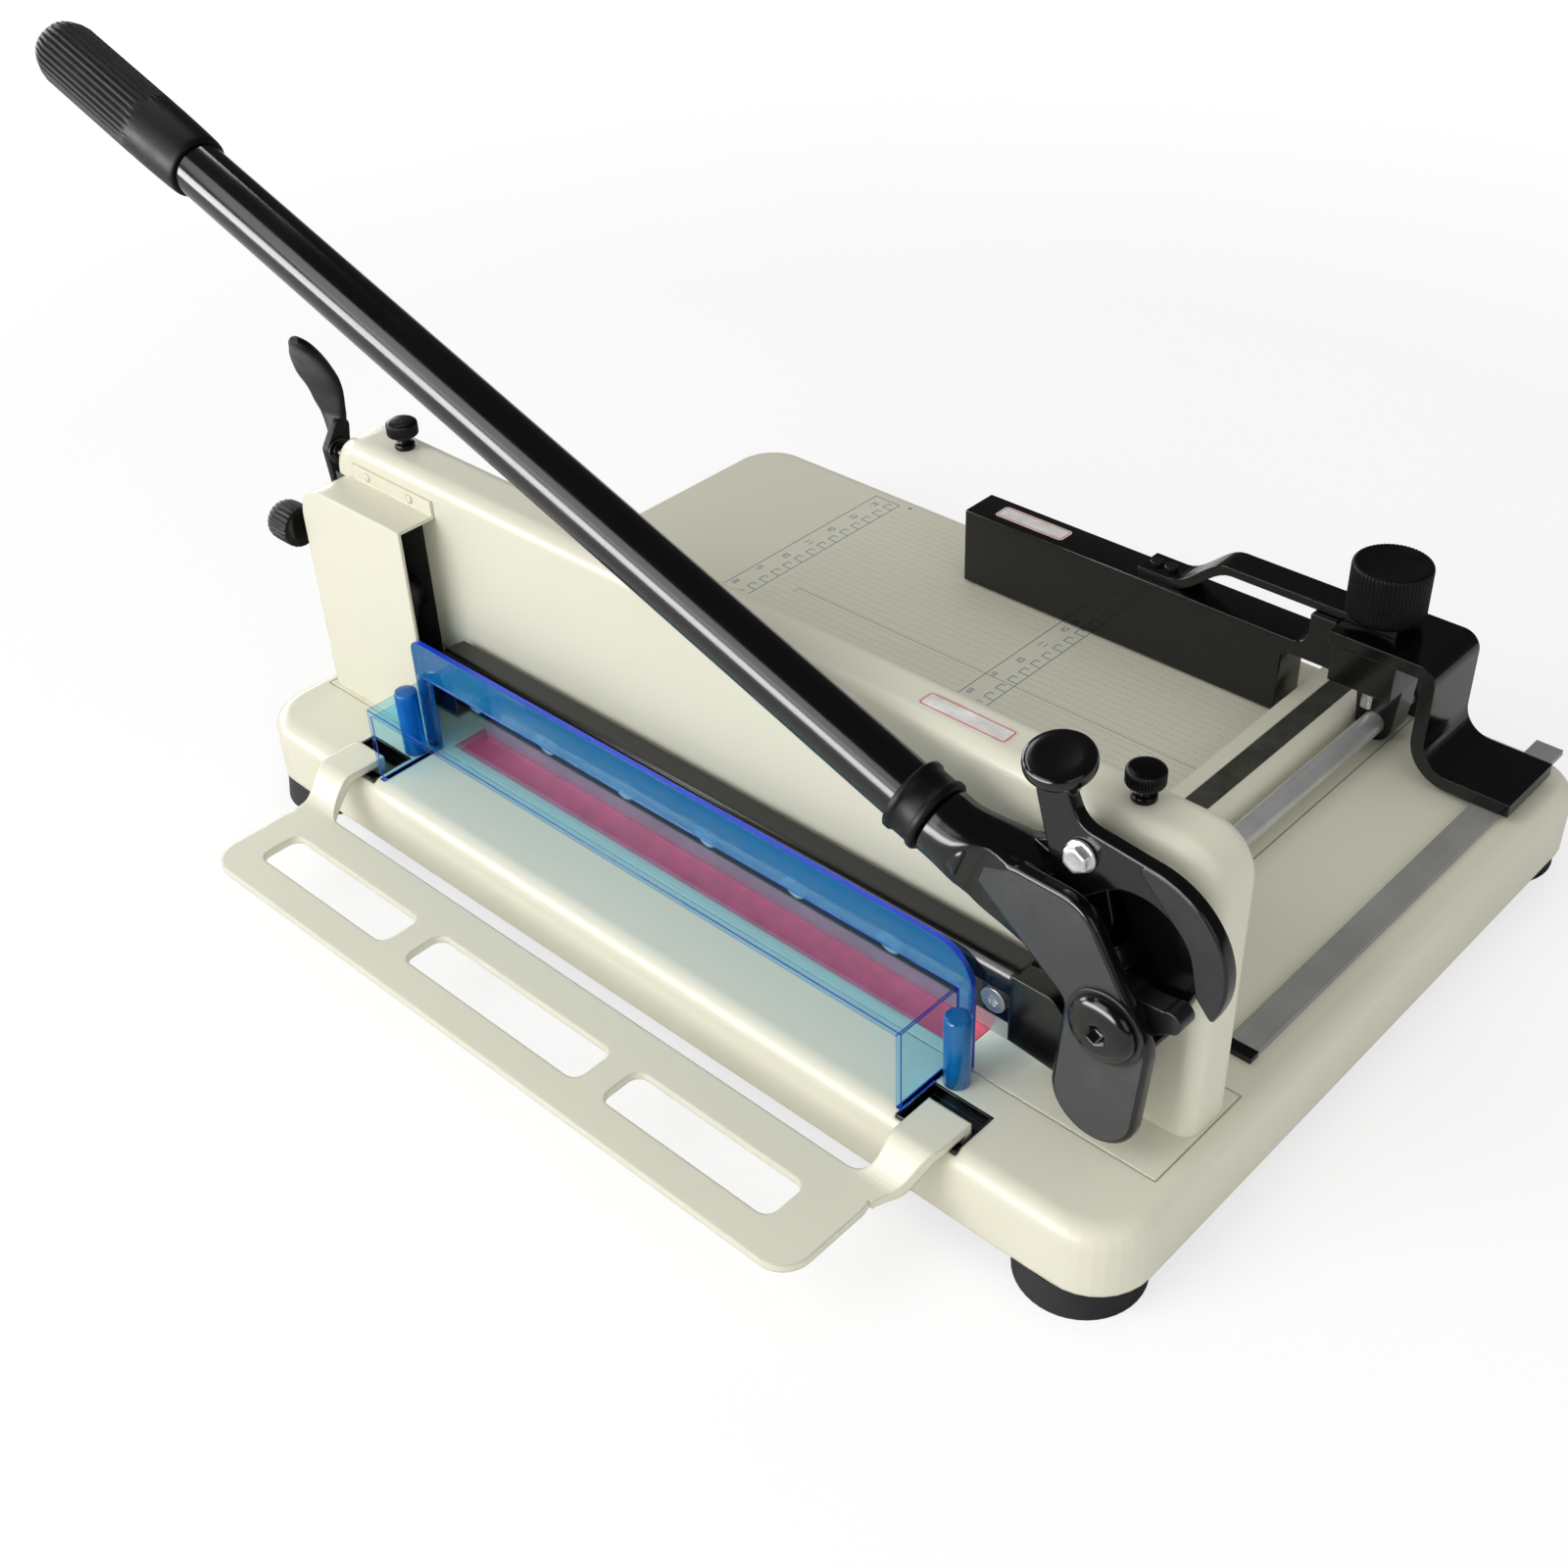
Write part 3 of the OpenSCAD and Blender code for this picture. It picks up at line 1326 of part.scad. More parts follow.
module gauge_fence() {
    x_step = rail_left - 2;
    z_end = carriage_top - gap;
    rise = z_end - fence_top;
    outline = concat([[fence_left, fence_base], [x_step, fence_base], [x_step, fence_step]],
        [[fence_right, fence_step], [fence_right, z_end], [fence_right - 6, z_end]],
        [for (i = [1 : 8]) [fence_right - 6 - 14 * sin(11.25 * i), z_end - rise * (1 - cos(11.25 * i))]],
        [[fence_left, fence_top]]);
    color(black) place() difference() {
        prism_y(outline, fence_front, fence_rear);
        block(fence_left + fence_t, x_step - fence_t, fence_front + fence_t, fence_rear - fence_t,
            fence_base - 1, fence_top - fence_t);
        for (x = strap_screw_x) rod_z([x, strap_mid_y], small_shank_r + slip_fit, fence_top - 8, fence_top + 1);
    }
}

strap_mid_y = (strap_front + strap_rear) / 2;
strap_screw_x = [strap_left + 6, strap_left + 15];

// Side view of the strap: flat on the fence, up over the carriage, and on under the knob
module gauge_strap() {
    x_rise = strap_left + 20;
    run = 34;
    rise = carriage_top - fence_top;
    lower = concat([[strap_left, fence_top]],
        [for (i = [0 : 10]) [x_rise + 2 + run * i / 10, fence_top + rise * (1 - cos(18 * i)) / 2]],
        [[strap_end, carriage_top]]);
    upper = concat([[strap_end, carriage_top + strap_t]],
        [for (i = [10 : -1 : 0])
            [x_rise - 1 + run * i / 10, fence_top + strap_t + rise * (1 - cos(18 * i)) / 2]],
        [[strap_left, fence_top + strap_t]]);
    color(black) place() difference() {
        prism_y(concat(lower, upper), strap_front, strap_rear);
        for (x = strap_screw_x) rod_z([x, strap_mid_y], small_shank_r + gap, fence_top - 1, fence_top + 10);
        rod_z([knob_x, knob_y], stud_r + run_fit, carriage_top - 1, carriage_top + strap_t + 1);
    }
}

module strap_screws() {
    color(black) place() for (x = strap_screw_x) {
        rod_z([x, strap_mid_y], small_shank_r, fence_top - 7, fence_top + strap_t + 0.5);
        rod_z([x, strap_mid_y], small_head_r, fence_top + strap_t, fence_top + strap_t + 2);
    }
}

// S-shaped plate: flat on top, down a wall and out to a foot over the steel strip
module gauge_carriage() {
    t = carriage_t;
    bend = [carriage_wall_x - carriage_r, carriage_top - t - carriage_r];
    foot_in = foot_mid_x - carriage_wall_x - t;
    foot_c = [foot_mid_x, foot_low + t + foot_in];
    outline = concat(
        [[fence_right + 0.5, carriage_top - t], [fence_right + 0.5, carriage_top]],
        arc_pts(bend, carriage_r + t, 90, 0),
        arc_pts(foot_c, foot_in, 180, 270),
        [[carriage_right, foot_low + t], [carriage_right, foot_low]],
        arc_pts(foot_c, foot_in + t, 270, 180),
        arc_pts(bend, carriage_r, 0, 90));
    color(black) place() difference() {
        prism_y(outline, carriage_front, carriage_rear);
        rod_z([knob_x, knob_y], stud_r + run_fit, carriage_top - t - 1, carriage_top + 1);
    }
}

module gauge_hub() {
    top = carriage_top - carriage_t;
    half = rod_r + hub_wall;
    floor_z = deck + rail_h + 1.5;
    color(black) place() difference() {
        union() {
            rod_y([rod_x, rod_z], half, hub_front, hub_rear);
            block(fence_right + 0.5, rod_x + half, hub_front, hub_rear, floor_z, top);
        }
        rod_y([rod_x, rod_z], rod_r + run_fit, hub_front - 1, hub_rear + 1);
        rod_z([knob_x, knob_y], stud_r + run_fit, rod_z, top + 1);
    }
}

module clamping_knob() {
    z0 = carriage_top + strap_t + gap;
    edge = 2;
    color(black) place() translate([knob_x, knob_y, 0]) difference() {
        union() {
            prism_z(rib_pts(knob_r, 0.8, knob_flutes), z0 + edge, z0 + knob_h - edge);
            translate([0, 0, z0]) cylinder(r1 = knob_r - 2.5, r2 = knob_r - 1.2, h = edge + 1);
            translate([0, 0, z0 + knob_h - edge - 1]) cylinder(r1 = knob_r - 1.2, r2 = knob_r - 2.8, h = edge + 1);
        }
        rod_z([0, 0], stud_r + slip_fit, z0 - 1, z0 + knob_h / 2);
    }
}

module knob_stud() {
    color(steel) place()
        rod_z([knob_x, knob_y], stud_r, rod_z + rod_r + 0.4, carriage_top + strap_t + knob_h / 2);
}

base_shell();
bottom_cover();
feet();
foot_screws();
bed_plate();
cutting_stick();
bridge();
bridge_bolts();
left_cover();
left_cover_screws();
thumb_screw_left();
thumb_screw_right();
lever_fork();
lever_tube();
lever_ferrule();
lever_grip();
pivot_bolt();
pivot_washer();
pivot_nut();
pivot_collar();
carrier_pin();
blade_carrier();
blade();
blade_screws();
swing_link();
link_stud();
link_pin();
safety_catch();
catch_bolt();
clamp_bar();
clamp_racks();
clamp_shaft();
clamp_pinions();
shaft_bushes();
ratchet_wheel();
clamp_crank();
crank_grip();
release_lever();
release_pivot();
guard();
guard_posts();
guard_screws();
front_plate();
slot_trims();
side_rail();
rail_inset();
guide_rod();
rod_supports();
steel_strip();
strip_cap();
gauge_fence();
gauge_strap();
strap_screws();
gauge_carriage();
gauge_hub();
clamping_knob();
knob_stud();
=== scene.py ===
import bmesh
import bpy
import numpy as np
from mathutils import Matrix, Vector


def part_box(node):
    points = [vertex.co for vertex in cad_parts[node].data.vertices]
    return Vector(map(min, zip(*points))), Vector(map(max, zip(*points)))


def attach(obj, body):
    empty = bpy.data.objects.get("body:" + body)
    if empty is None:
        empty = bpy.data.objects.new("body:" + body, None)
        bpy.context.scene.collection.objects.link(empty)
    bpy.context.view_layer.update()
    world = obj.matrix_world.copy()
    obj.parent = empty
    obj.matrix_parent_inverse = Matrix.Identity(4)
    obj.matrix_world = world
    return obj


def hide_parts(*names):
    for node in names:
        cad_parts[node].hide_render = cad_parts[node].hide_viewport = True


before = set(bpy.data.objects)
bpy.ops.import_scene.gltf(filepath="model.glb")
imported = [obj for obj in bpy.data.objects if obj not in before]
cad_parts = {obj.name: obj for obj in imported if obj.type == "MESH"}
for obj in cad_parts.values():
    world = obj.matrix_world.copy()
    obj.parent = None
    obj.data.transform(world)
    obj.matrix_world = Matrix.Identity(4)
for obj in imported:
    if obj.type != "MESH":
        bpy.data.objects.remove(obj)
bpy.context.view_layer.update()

bl_info = {
    "name": "Stack Paper Cutter",
    "version": (1, 0, 0),
    "blender": (4, 5, 0),
    "location": "View3D > Sidebar > Paper Cutter",
    "description": "Looks of a lever-operated stack paper cutter around its solid model",
    "category": "Object",
}

MM = 0.001
TURN = 2 * np.pi


# Places, in millimetres from the middle of the base

def node_span(node):
    """Lowest and highest corner of a solid."""
    low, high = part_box(node)
    return (np.array(low) - ORIGIN) / MM, (np.array(high) - ORIGIN) / MM


def node_middle(node):
    return sum(node_span(node)) / 2


_low, _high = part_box("base_shell")
ORIGIN = np.array([(_low.x + _high.x) / 2, (_low.y + _high.y) / 2, 0.0])
DECK = node_span("bed_plate")[1][2]
BRIDGE_FRONT = node_span("left_cover")[1][1]
BRIDGE_TOP = node_span("bridge")[1][2]
PIVOT = node_middle("pivot_bolt")[[0, 2]]


def ahead(depth):
    """A distance in front of the bridge as a place along the machine's depth, or the reverse."""
    return BRIDGE_FRONT - depth


# Settings

def colour_setting(name, description, default):
    """A colour that the user can change."""
    return bpy.props.FloatVectorProperty(
        name=name, description=description, default=default, subtype="COLOR", size=3, min=0, max=1)


class CutterColours(bpy.types.PropertyGroup):
    """Colours of the finishes."""

    ivory: colour_setting("Ivory Enamel", "Base, bridge and front plate", (0.77, 0.75, 0.61))
    black: colour_setting("Black Enamel", "Lever, gauge and blade carrier", (0.0022, 0.0022, 0.0024))
    worn: colour_setting("Worn Steel", "Faces of the lever's cheeks and the catch", (0.052, 0.053, 0.056))
    plastic: colour_setting("Black Plastic", "Grips and knobs", (0.0032, 0.0032, 0.0034))
    stick: colour_setting("Cutting Stick", "Stick under the blade", (0.88, 0.07, 0.12))
    acrylic: colour_setting("Pale Acrylic", "Top and ends of the guard", (0.004, 0.46, 0.95))
    acrylic_deep: colour_setting("Deep Acrylic", "Rear wall of the guard", (0.004, 0.26, 0.60))
    ink: colour_setting("Table Ink", "Scales and lines on the table", (0.16, 0.27, 0.34))


class CutterSizes(bpy.types.PropertyGroup):
    """Sizes of the pieces that are made here, in millimetres where they are lengths."""

    rim: bpy.props.FloatProperty(
        name="Plate Rim", description="Rounding along the rims of the lever's cheeks",
        default=2.2, min=0.5, max=3)
    grip_ribs: bpy.props.IntProperty(
        name="Grip Ribs", description="Long ribs around the lever's grip", default=32, min=20, max=40)
    knob_flutes: bpy.props.IntProperty(
        name="Knob Flutes", description="Flutes around the clamping knob", default=60, min=40, max=72)
    thumb_flutes: bpy.props.IntProperty(
        name="Thumb Screw Flutes", description="Flutes around each thumb screw", default=40, min=24, max=60)
    scale_step: bpy.props.FloatProperty(
        name="Scale Step", description="Distance between the scale's marks", default=10.0, min=5, max=20)
    print_t: bpy.props.FloatProperty(
        name="Print Thickness", description="Height of the print above the table",
        default=0.06, min=0.02, max=0.2)


def sizes():
    return bpy.context.scene.cutter_sizes


# Finishes

class Nodes:
    """A node tree under construction, with short ways to add nodes and fill their sockets."""

    def __init__(self, owner):
        owner.use_nodes = True
        self.tree = owner.node_tree
        self.tree.nodes.clear()

    def put(self, socket, value):
        if isinstance(value, bpy.types.NodeSocket):
            self.tree.links.new(value, socket)
        elif socket.type == "RGBA":
            socket.default_value = (*value, 1.0)
        else:
            socket.default_value = value

    def add(self, kind, settings=None, **inputs):
        node = self.tree.nodes.new(kind)
        for key, value in (settings or {}).items():
            setattr(node, key, value)
        for key, value in inputs.items():
            self.put(node.inputs[key.replace("_", " ")], value)
        return node

    def fill(self, node, values):
        """Puts values on the sockets with these numbers."""
        for place, value in values.items():
            self.put(node.inputs[place], value)
        return node

    def math(self, operation, one, two):
        node = self.add("ShaderNodeMath", {"operation": operation, "use_clamp": True})
        return self.fill(node, {0: one, 1: two}).outputs[0]

    def blend(self, factor, one, two):
        """Mix of two shaders."""
        return self.fill(self.add("ShaderNodeMixShader"), {0: factor, 1: one, 2: two}).outputs[0]

    def end(self, kind, shader):
        self.put(self.add(kind).inputs["Surface"], shader)


class Finish(Nodes):
    """A material under construction, with its Object coordinates."""

    def __init__(self, name):
        self.material = bpy.data.materials.new(name)
        super().__init__(self.material)
        self.coords = self.add("ShaderNodeTexCoord").outputs["Object"]

    def stretched(self, x, y, z):
        return self.add("ShaderNodeMapping", Vector=self.coords, Scale=(x, y, z)).outputs[0]

    def noise(self, scale, detail=3.0, roughness=0.55, at=None):
        return self.add("ShaderNodeTexNoise", Vector=at or self.coords, Scale=scale, Detail=detail,
                        Roughness=roughness).outputs["Fac"]

    def spread(self, value, low, high, start=0.3, end=0.7):
        return self.add("ShaderNodeMapRange", Value=value, From_Min=start, From_Max=end,
                        To_Min=low, To_Max=high).outputs["Result"]

    def ramp(self, value, *stops):
        node = self.add("ShaderNodeValToRGB", Fac=value)
        bar = node.color_ramp.elements
        while len(bar) < len(stops):
            bar.new(0.5)
        for element, (place, colour) in zip(bar, stops):
            element.position = place
            element.color = (*colour, 1.0)
        return node.outputs["Color"]

    def mixed(self, factor, one, two):
        node = self.add("ShaderNodeMix", {"data_type": "RGBA"})
        return self.fill(node, {0: factor, 6: one, 7: two}).outputs[2]

    def edged(self, base, radius, share, colour):
        """A colour rubbed along its edges, where one minus the dot of the softened and the true normal is
        large; and the softened normal."""
        soft = self.add("ShaderNodeBevel", {"samples": 6}, Radius=radius).outputs["Normal"]
        true = self.add("ShaderNodeNewGeometry").outputs["Normal"]
        dot = self.add("ShaderNodeVectorMath", {"operation": "DOT_PRODUCT"})
        self.fill(dot, {0: soft, 1: true})
        edge = self.spread(self.math("SUBTRACT", 1.0, dot.outputs["Value"]), 0.0, 1.0, 0.02, 0.22)
        return self.mixed(self.math("MULTIPLY", edge, share), base, colour), soft

    def bump(self, height, strength, distance, **normal):
        node = self.add("ShaderNodeBump", Height=height, Strength=strength, Distance=distance, **normal)
        return node.outputs["Normal"]

    def close(self, **inputs):
        self.end("ShaderNodeOutputMaterial", self.add("ShaderNodeBsdfPrincipled", **inputs).outputs[0])
        return self.material


def scaled(colour, factor):
    return tuple(min(1.0, c * factor) for c in colour)


def enamel(name, colour, gloss, edge, level=0.5, peel=0.05, soft=0.0012, rubbed=0.5):
    """Sprayed paint: a faint broad colour drift, a soft orange-peel surface and thin rubbed edges."""
    f = Finish(name)
    base = f.ramp(f.noise(5.0), (0.3, scaled(colour, 0.98)), (0.7, scaled(colour, 1.015)))
    patches = f.spread(f.noise(55.0, 5.0, 0.7), 0.0, rubbed, 0.42, 0.66)
    base, rounded = f.edged(base, soft, patches, edge)
    skin = f.bump(f.noise(420.0, 2.0), peel, 0.0004, Normal=rounded)
    rough = f.spread(f.noise(28.0, 5.0, 0.65), gloss, gloss + 0.06)
    return f.close(Base_Color=base, Roughness=rough, Normal=skin, Specular_IOR_Level=level)


def worn_face(name, colour):
    """Dark satin steel rubbed by hands and paper: cloudy tone, faint short scratches and brighter edges."""
    f = Finish(name)
    cloud = f.noise(38.0, 6.0, 0.66)
    base = f.ramp(cloud, (0.3, scaled(colour, 0.78)), (0.55, colour), (0.75, scaled(colour, 1.35)))
    marks = f.noise(1.0, 4.0, 0.7, f.stretched(90.0, 90.0, 700.0))
    base = f.mixed(f.spread(marks, 0.0, 0.3, 0.6, 0.74), base, scaled(colour, 1.8))
    base, rounded = f.edged(base, 0.0008, 0.4, scaled(colour, 4.0))
    skin = f.bump(f.noise(700.0, 4.0, 0.7), 0.08, 0.0003, Normal=rounded)
    rough = f.spread(cloud, 0.36, 0.52)
    return f.close(Base_Color=base, Roughness=rough, Normal=skin, Specular_IOR_Level=0.35)


def moulded(name, colour, gloss, grain=0.12, level=0.35):
    """Moulded plastic: a fine spark-eroded grain, faint grey dust in it and slightly polished edges."""
    f = Finish(name)
    dust = f.noise(85.0, 6.0, 0.7)
    base = f.ramp(dust, (0.35, scaled(colour, 0.8)), (0.72, scaled(colour, 1.7)))
    base, rounded = f.edged(base, 0.0006, 0.35, scaled(colour, 4.0))
    skin = f.bump(f.noise(2600.0, 2.0), grain, 0.0002, Normal=rounded)
    rough = f.spread(dust, gloss, gloss + 0.14)
    return f.close(Base_Color=base, Roughness=rough, Normal=skin, Specular_IOR_Level=level)


def metal(name, colour, gloss, along, drift=0.12, groove=0.06, bare=1.0):
    """Bare or plated metal with its grinding lines along one axis and a cloudy film on it."""
    f = Finish(name)
    lines = f.noise(1.0, 5.0, 0.72, f.stretched(*along))
    cloud = f.noise(35.0, 5.0, 0.6)
    base = f.ramp(cloud, (0.3, scaled(colour, 1.0 - drift)), (0.7, scaled(colour, 1.0 + drift)))
    base = f.mixed(f.spread(lines, 0.0, 0.45, 0.45, 0.75), base, scaled(colour, 0.72))
    base, rounded = f.edged(base, 0.0006, 0.4, scaled(colour, 1.3))
    skin = f.bump(lines, groove, 0.0002, Normal=rounded)
    rough = f.spread(lines, gloss, gloss + 0.16)
    return f.close(Base_Color=base, Roughness=rough, Normal=skin, Metallic=bare)


def acrylic(name, colour, clear, rough=0.03, cover=1.0, bend=1.49):
    """Cast acrylic: mostly clear, a little milky, with faint waves in its faces."""
    f = Finish(name)
    waves = f.noise(22.0, 2.0)
    tint = f.ramp(waves, (0.3, scaled(colour, 0.94)), (0.7, scaled(colour, 1.04)))
    skin = f.bump(waves, 0.05, 0.0008)
    haze = f.spread(f.noise(240.0, 4.0, 0.7), rough, rough + 0.05, 0.5, 0.8)
    return f.close(Base_Color=tint, Roughness=haze, Normal=skin, IOR=bend,
                   Transmission_Weight=clear, Alpha=cover)


def printed(name, colour):
    """Screen print: thin ink, broken slightly by the paint under it."""
    f = Finish(name)
    breaks = f.noise(900.0, 4.0, 0.7)
    base = f.ramp(breaks, (0.35, scaled(colour, 0.9)), (0.75, scaled(colour, 1.5)))
    return f.close(Base_Color=base, Roughness=f.spread(breaks, 0.45, 0.6))


def make_finishes():
    """All materials of the cutter, by name."""
    c = bpy.context.scene.cutter_colours
    blued = (0.010, 0.010, 0.011)
    return {
        "ivory": enamel("ivory_enamel", c.ivory, 0.32, scaled(c.ivory, 1.08), level=0.32, peel=0.04,
                        soft=0.0016, rubbed=0.3),
        "black": enamel("black_gloss_enamel", c.black, 0.12, (0.05, 0.05, 0.05), peel=0.02),
        "worn": worn_face("worn_dark_steel", c.worn),
        "worn_hook": worn_face("worn_hook_face", scaled(c.worn, 0.36)),
        "sheet": enamel("dark_sheet_paint", (0.03, 0.03, 0.028), 0.45, (0.12, 0.12, 0.11), peel=0.1),
        "plastic": moulded("moulded_black_plastic", c.plastic, 0.36, level=0.2),
        "gloss": moulded("polished_black_plastic", scaled(c.plastic, 0.6), 0.18, grain=0.04, level=0.2),
        # Dark olive for the rail inset: painted shade of the guide rod and of the rail's side on the shelf
        "rail_shade": moulded("painted_rail_shade", (0.045, 0.048, 0.036), 0.42),
        "rubber": moulded("foot_rubber", blued, 0.62, grain=0.3, level=0.3),
        "black_steel": enamel("blackened_steel", blued, 0.28, (0.12, 0.12, 0.12)),
        "zinc": metal("zinc_plate", (0.62, 0.64, 0.64), 0.22, (220.0, 220.0, 220.0),
                      drift=0.18, groove=0.03, bare=0.8),
        "bright": metal("ground_steel_rod", (0.66, 0.67, 0.66), 0.26, (1500.0, 14.0, 1500.0), bare=0.5),
        "brushed": metal("brushed_steel_strip", (0.39, 0.40, 0.375), 0.4, (2200.0, 10.0, 2200.0),
                         groove=0.1, bare=0.3),
        "blade": metal("ground_blade_steel", (0.56, 0.565, 0.57), 0.24, (1800.0, 1800.0, 12.0), bare=0.6),
        "bronze": metal("sintered_bronze", (0.52, 0.36, 0.17), 0.36, (400.0, 400.0, 400.0), groove=0.12),
        "stick": moulded("red_cutting_stick", c.stick, 0.34, grain=0.08, level=0.45),
        "pale": acrylic("pale_blue_acrylic", c.acrylic, 1.0, cover=0.3, bend=1.03),
        "deep": acrylic("deep_blue_acrylic", c.acrylic_deep, 0.6, cover=0.82),
        "edge": acrylic("acrylic_cut_edge", (0.008, 0.05, 0.42), 0.1, rough=0.14),
        # Brighter copy of the cut edge's blue for the rear wall's top edge: painted highlight
        "rim": acrylic("acrylic_lit_edge", (0.01, 0.07, 0.80), 0.1, rough=0.14),
        "post": acrylic("blue_post", (0.012, 0.25, 0.66), 0.55),
        "ink": printed("blue_grey_ink", c.ink),
        "faint_ink": printed("faint_grey_ink", (0.47, 0.455, 0.365)),
        "grey_ink": printed("grey_line_ink", (0.25, 0.25, 0.22)),
        "blue_ink": printed("blue_line_ink", (0.12, 0.27, 0.45)),
        "label": moulded("label_face", (0.84, 0.80, 0.76), 0.4, grain=0.03, level=0.4),
        "label_line": printed("label_border", (0.62, 0.06, 0.05)),
    }


FINISHES = {}

NODE_FINISH = {
    "ivory": ("base_shell", "bed_plate", "bridge", "left_cover", "front_plate", "side_rail"),
    "black": ("blade_carrier", "gauge_strap", "gauge_carriage", "clamp_crank",
              "slot_trims", "strip_cap", "release_pivot"),
    "sheet": ("bottom_cover", "rod_supports", "swing_link"),
    # The rail inset's dark olive is painted shade, not a colour of its own
    "rail_shade": ("rail_inset",),
    "rubber": ("feet",),
    "black_steel": ("pivot_washer", "pivot_collar", "strap_screws", "link_stud", "link_pin"),
    "zinc": ("foot_screws", "bridge_bolts", "pivot_nut", "blade_screws",
             "guard_screws", "carrier_pin", "knob_stud"),
    "bright": ("guide_rod", "clamp_shaft"),
    "brushed": ("steel_strip", "clamp_bar", "clamp_racks", "clamp_pinions", "ratchet_wheel"),
    "blade": ("blade",),
    "stick": ("cutting_stick",),
    "bronze": ("shaft_bushes",),
}


# Surfaces

BOX_CORNERS = np.array([[0, 0, 0], [1, 0, 0], [1, 1, 0], [0, 1, 0],
                        [0, 0, 1], [1, 0, 1], [1, 1, 1], [0, 1, 1]])
BOX_SIDES = np.array([[0, 3, 2, 1], [4, 5, 6, 7], [0, 1, 5, 4], [1, 2, 6, 5], [2, 3, 7, 6], [3, 0, 4, 7]])


class Shells:
    """Closed grids and boxes, in millimetres, gathered into one piece."""

    def __init__(self):
        self.points, self.faces, self.indices, self.smooth = [], [], [], []
        self.count = 0

    def place(self, points):
        self.points.append(points.reshape(-1, 3))
        self.count += len(self.points[-1])

    def cover(self, faces, index, smooth):
        self.faces += np.asarray(faces).tolist()
        self.indices += [index] * len(faces)
        self.smooth += [smooth] * len(faces)

    def cells(self, points):
        """Places a grid; gives the numbers of its points and those of their neighbours around."""
        cell = np.arange(points[..., 0].size).reshape(points.shape[:2]) + self.count
        self.place(points)
        return cell, np.roll(cell, -1, axis=1)

    def grid(self, points, index=0, cap_index=None):
        """A grid that closes around, with one flat cap at each end."""
        cell, right = self.cells(points)
        quads = np.stack([cell[:-1], right[:-1], right[1:], cell[1:]], axis=-1)
        self.cover(quads.reshape(-1, 4), index, True)
        self.cover([cell[0, ::-1], cell[-1]], index if cap_index is None else cap_index, False)

    def ring(self, points):
        """A grid that closes both ways, such as a plate with a bore."""
        cell, right = self.cells(points)
        quads = np.stack([cell, right, np.roll(right, -1, axis=0), np.roll(cell, -1, axis=0)], axis=-1)
        self.cover(quads.reshape(-1, 4), 0, False)

    def bars(self, low, high):
        """Boxes from arrays of lowest and highest corners."""
        low, high = np.asarray(low, float), np.asarray(high, float)
        first = np.arange(len(low))[:, None, None] * len(BOX_CORNERS) + self.count
        self.cover((first + BOX_SIDES[None]).reshape(-1, 4), 0, False)
        self.place(low[:, None, :] + BOX_CORNERS[None] * (high - low)[:, None, :])

    def piece(self, name, finishes, body, slot, *replaced):
        """One object from all the shells: put in place, turned outwards and tied to its body."""
        mesh = bpy.data.meshes.new(name)
        mesh.from_pydata(np.concatenate(self.points) * MM + ORIGIN, [], self.faces)
        for key in finishes:
            mesh.materials.append(FINISHES[key])
        mesh.polygons.foreach_set("material_index", np.array(self.indices, np.int32))
        mesh.polygons.foreach_set("use_smooth", np.array(self.smooth, bool))
        work = bmesh.new()
        work.from_mesh(mesh)
        bmesh.ops.recalc_face_normals(work, faces=work.faces)
        work.to_mesh(mesh)
        work.free()
        piece = bpy.data.objects.new(name, mesh)
        bpy.context.scene.collection.objects.link(piece)
        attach(piece, body)
        if replaced:
            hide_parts(*replaced)


def grid_piece(points, name, finish, body, slot, *replaced):
    """A piece of one closed grid with one finish."""
    shells = Shells()
    shells.grid(points)
    shells.piece(name, (finish,), body, slot, *replaced)


def face_values(mesh, key, width):
    """One row of values for each face of a mesh."""
    values = np.empty(len(mesh.polygons) * width)
    mesh.polygons.foreach_get(key, values)
    return values.reshape(-1, width)


def joined(x, y, z):
    """Points from three coordinates that share rows and places around."""
    return np.stack(np.broadcast_arrays(x, y, z), axis=-1)


def around(count):
    """Angles of a whole turn in equal steps."""
    return np.arange(count) * TURN / count


def belt(pulleys, pitch=0.9):
    """Outline of a belt drawn tight around round pulleys (x, z, radius), counter-clockwise.

    Between two pulleys the belt is their common tangent, whose left normal stands at the angle of the line
    of centres plus arccos((r2 - r1) / distance); a negative radius bends the belt the other way.
    Gives the points and the outward normals."""
    pulleys = np.asarray(pulleys, float)
    centre, radius = pulleys[:, :2], pulleys[:, 2]
    step = np.roll(centre, -1, axis=0) - centre
    turn = np.arccos((np.roll(radius, -1) - radius) / np.hypot(*step.T))
    leave = np.arctan2(step[:, 1], step[:, 0]) + turn
    points, normals = [], []
    for c, r, a, b in zip(centre, radius, np.roll(leave, 1), leave):
        sweep = (b - a) % TURN if r > 0 else -((a - b) % TURN)
        angle = a + np.linspace(0.0, sweep, max(4, int(abs(sweep * r) / pitch) + 2))
        toward = np.stack([np.cos(angle), np.sin(angle)], axis=1)
        points.append(c - r * toward)
        normals.append(-toward)
    return np.concatenate(points), np.concatenate(normals)


def swept(pulleys, back, front, rim, steps=6):
    """A belt outline carried from back to front, drawn in by a quarter circle at each end: the two
    coordinates in its plane, and its depth."""
    outline, normal = belt(pulleys)
    q = np.linspace(0.0, np.pi / 2, steps)
    inset, rise = rim * (1 - np.sin(q)), rim * (1 - np.cos(q))
    inset, depth = np.r_[inset, inset[::-1]], np.r_[back + rise, front - rise[::-1]]
    flat = outline[None] - inset[:, None, None] * normal[None]
    return flat[..., 0], flat[..., 1], depth[:, None]


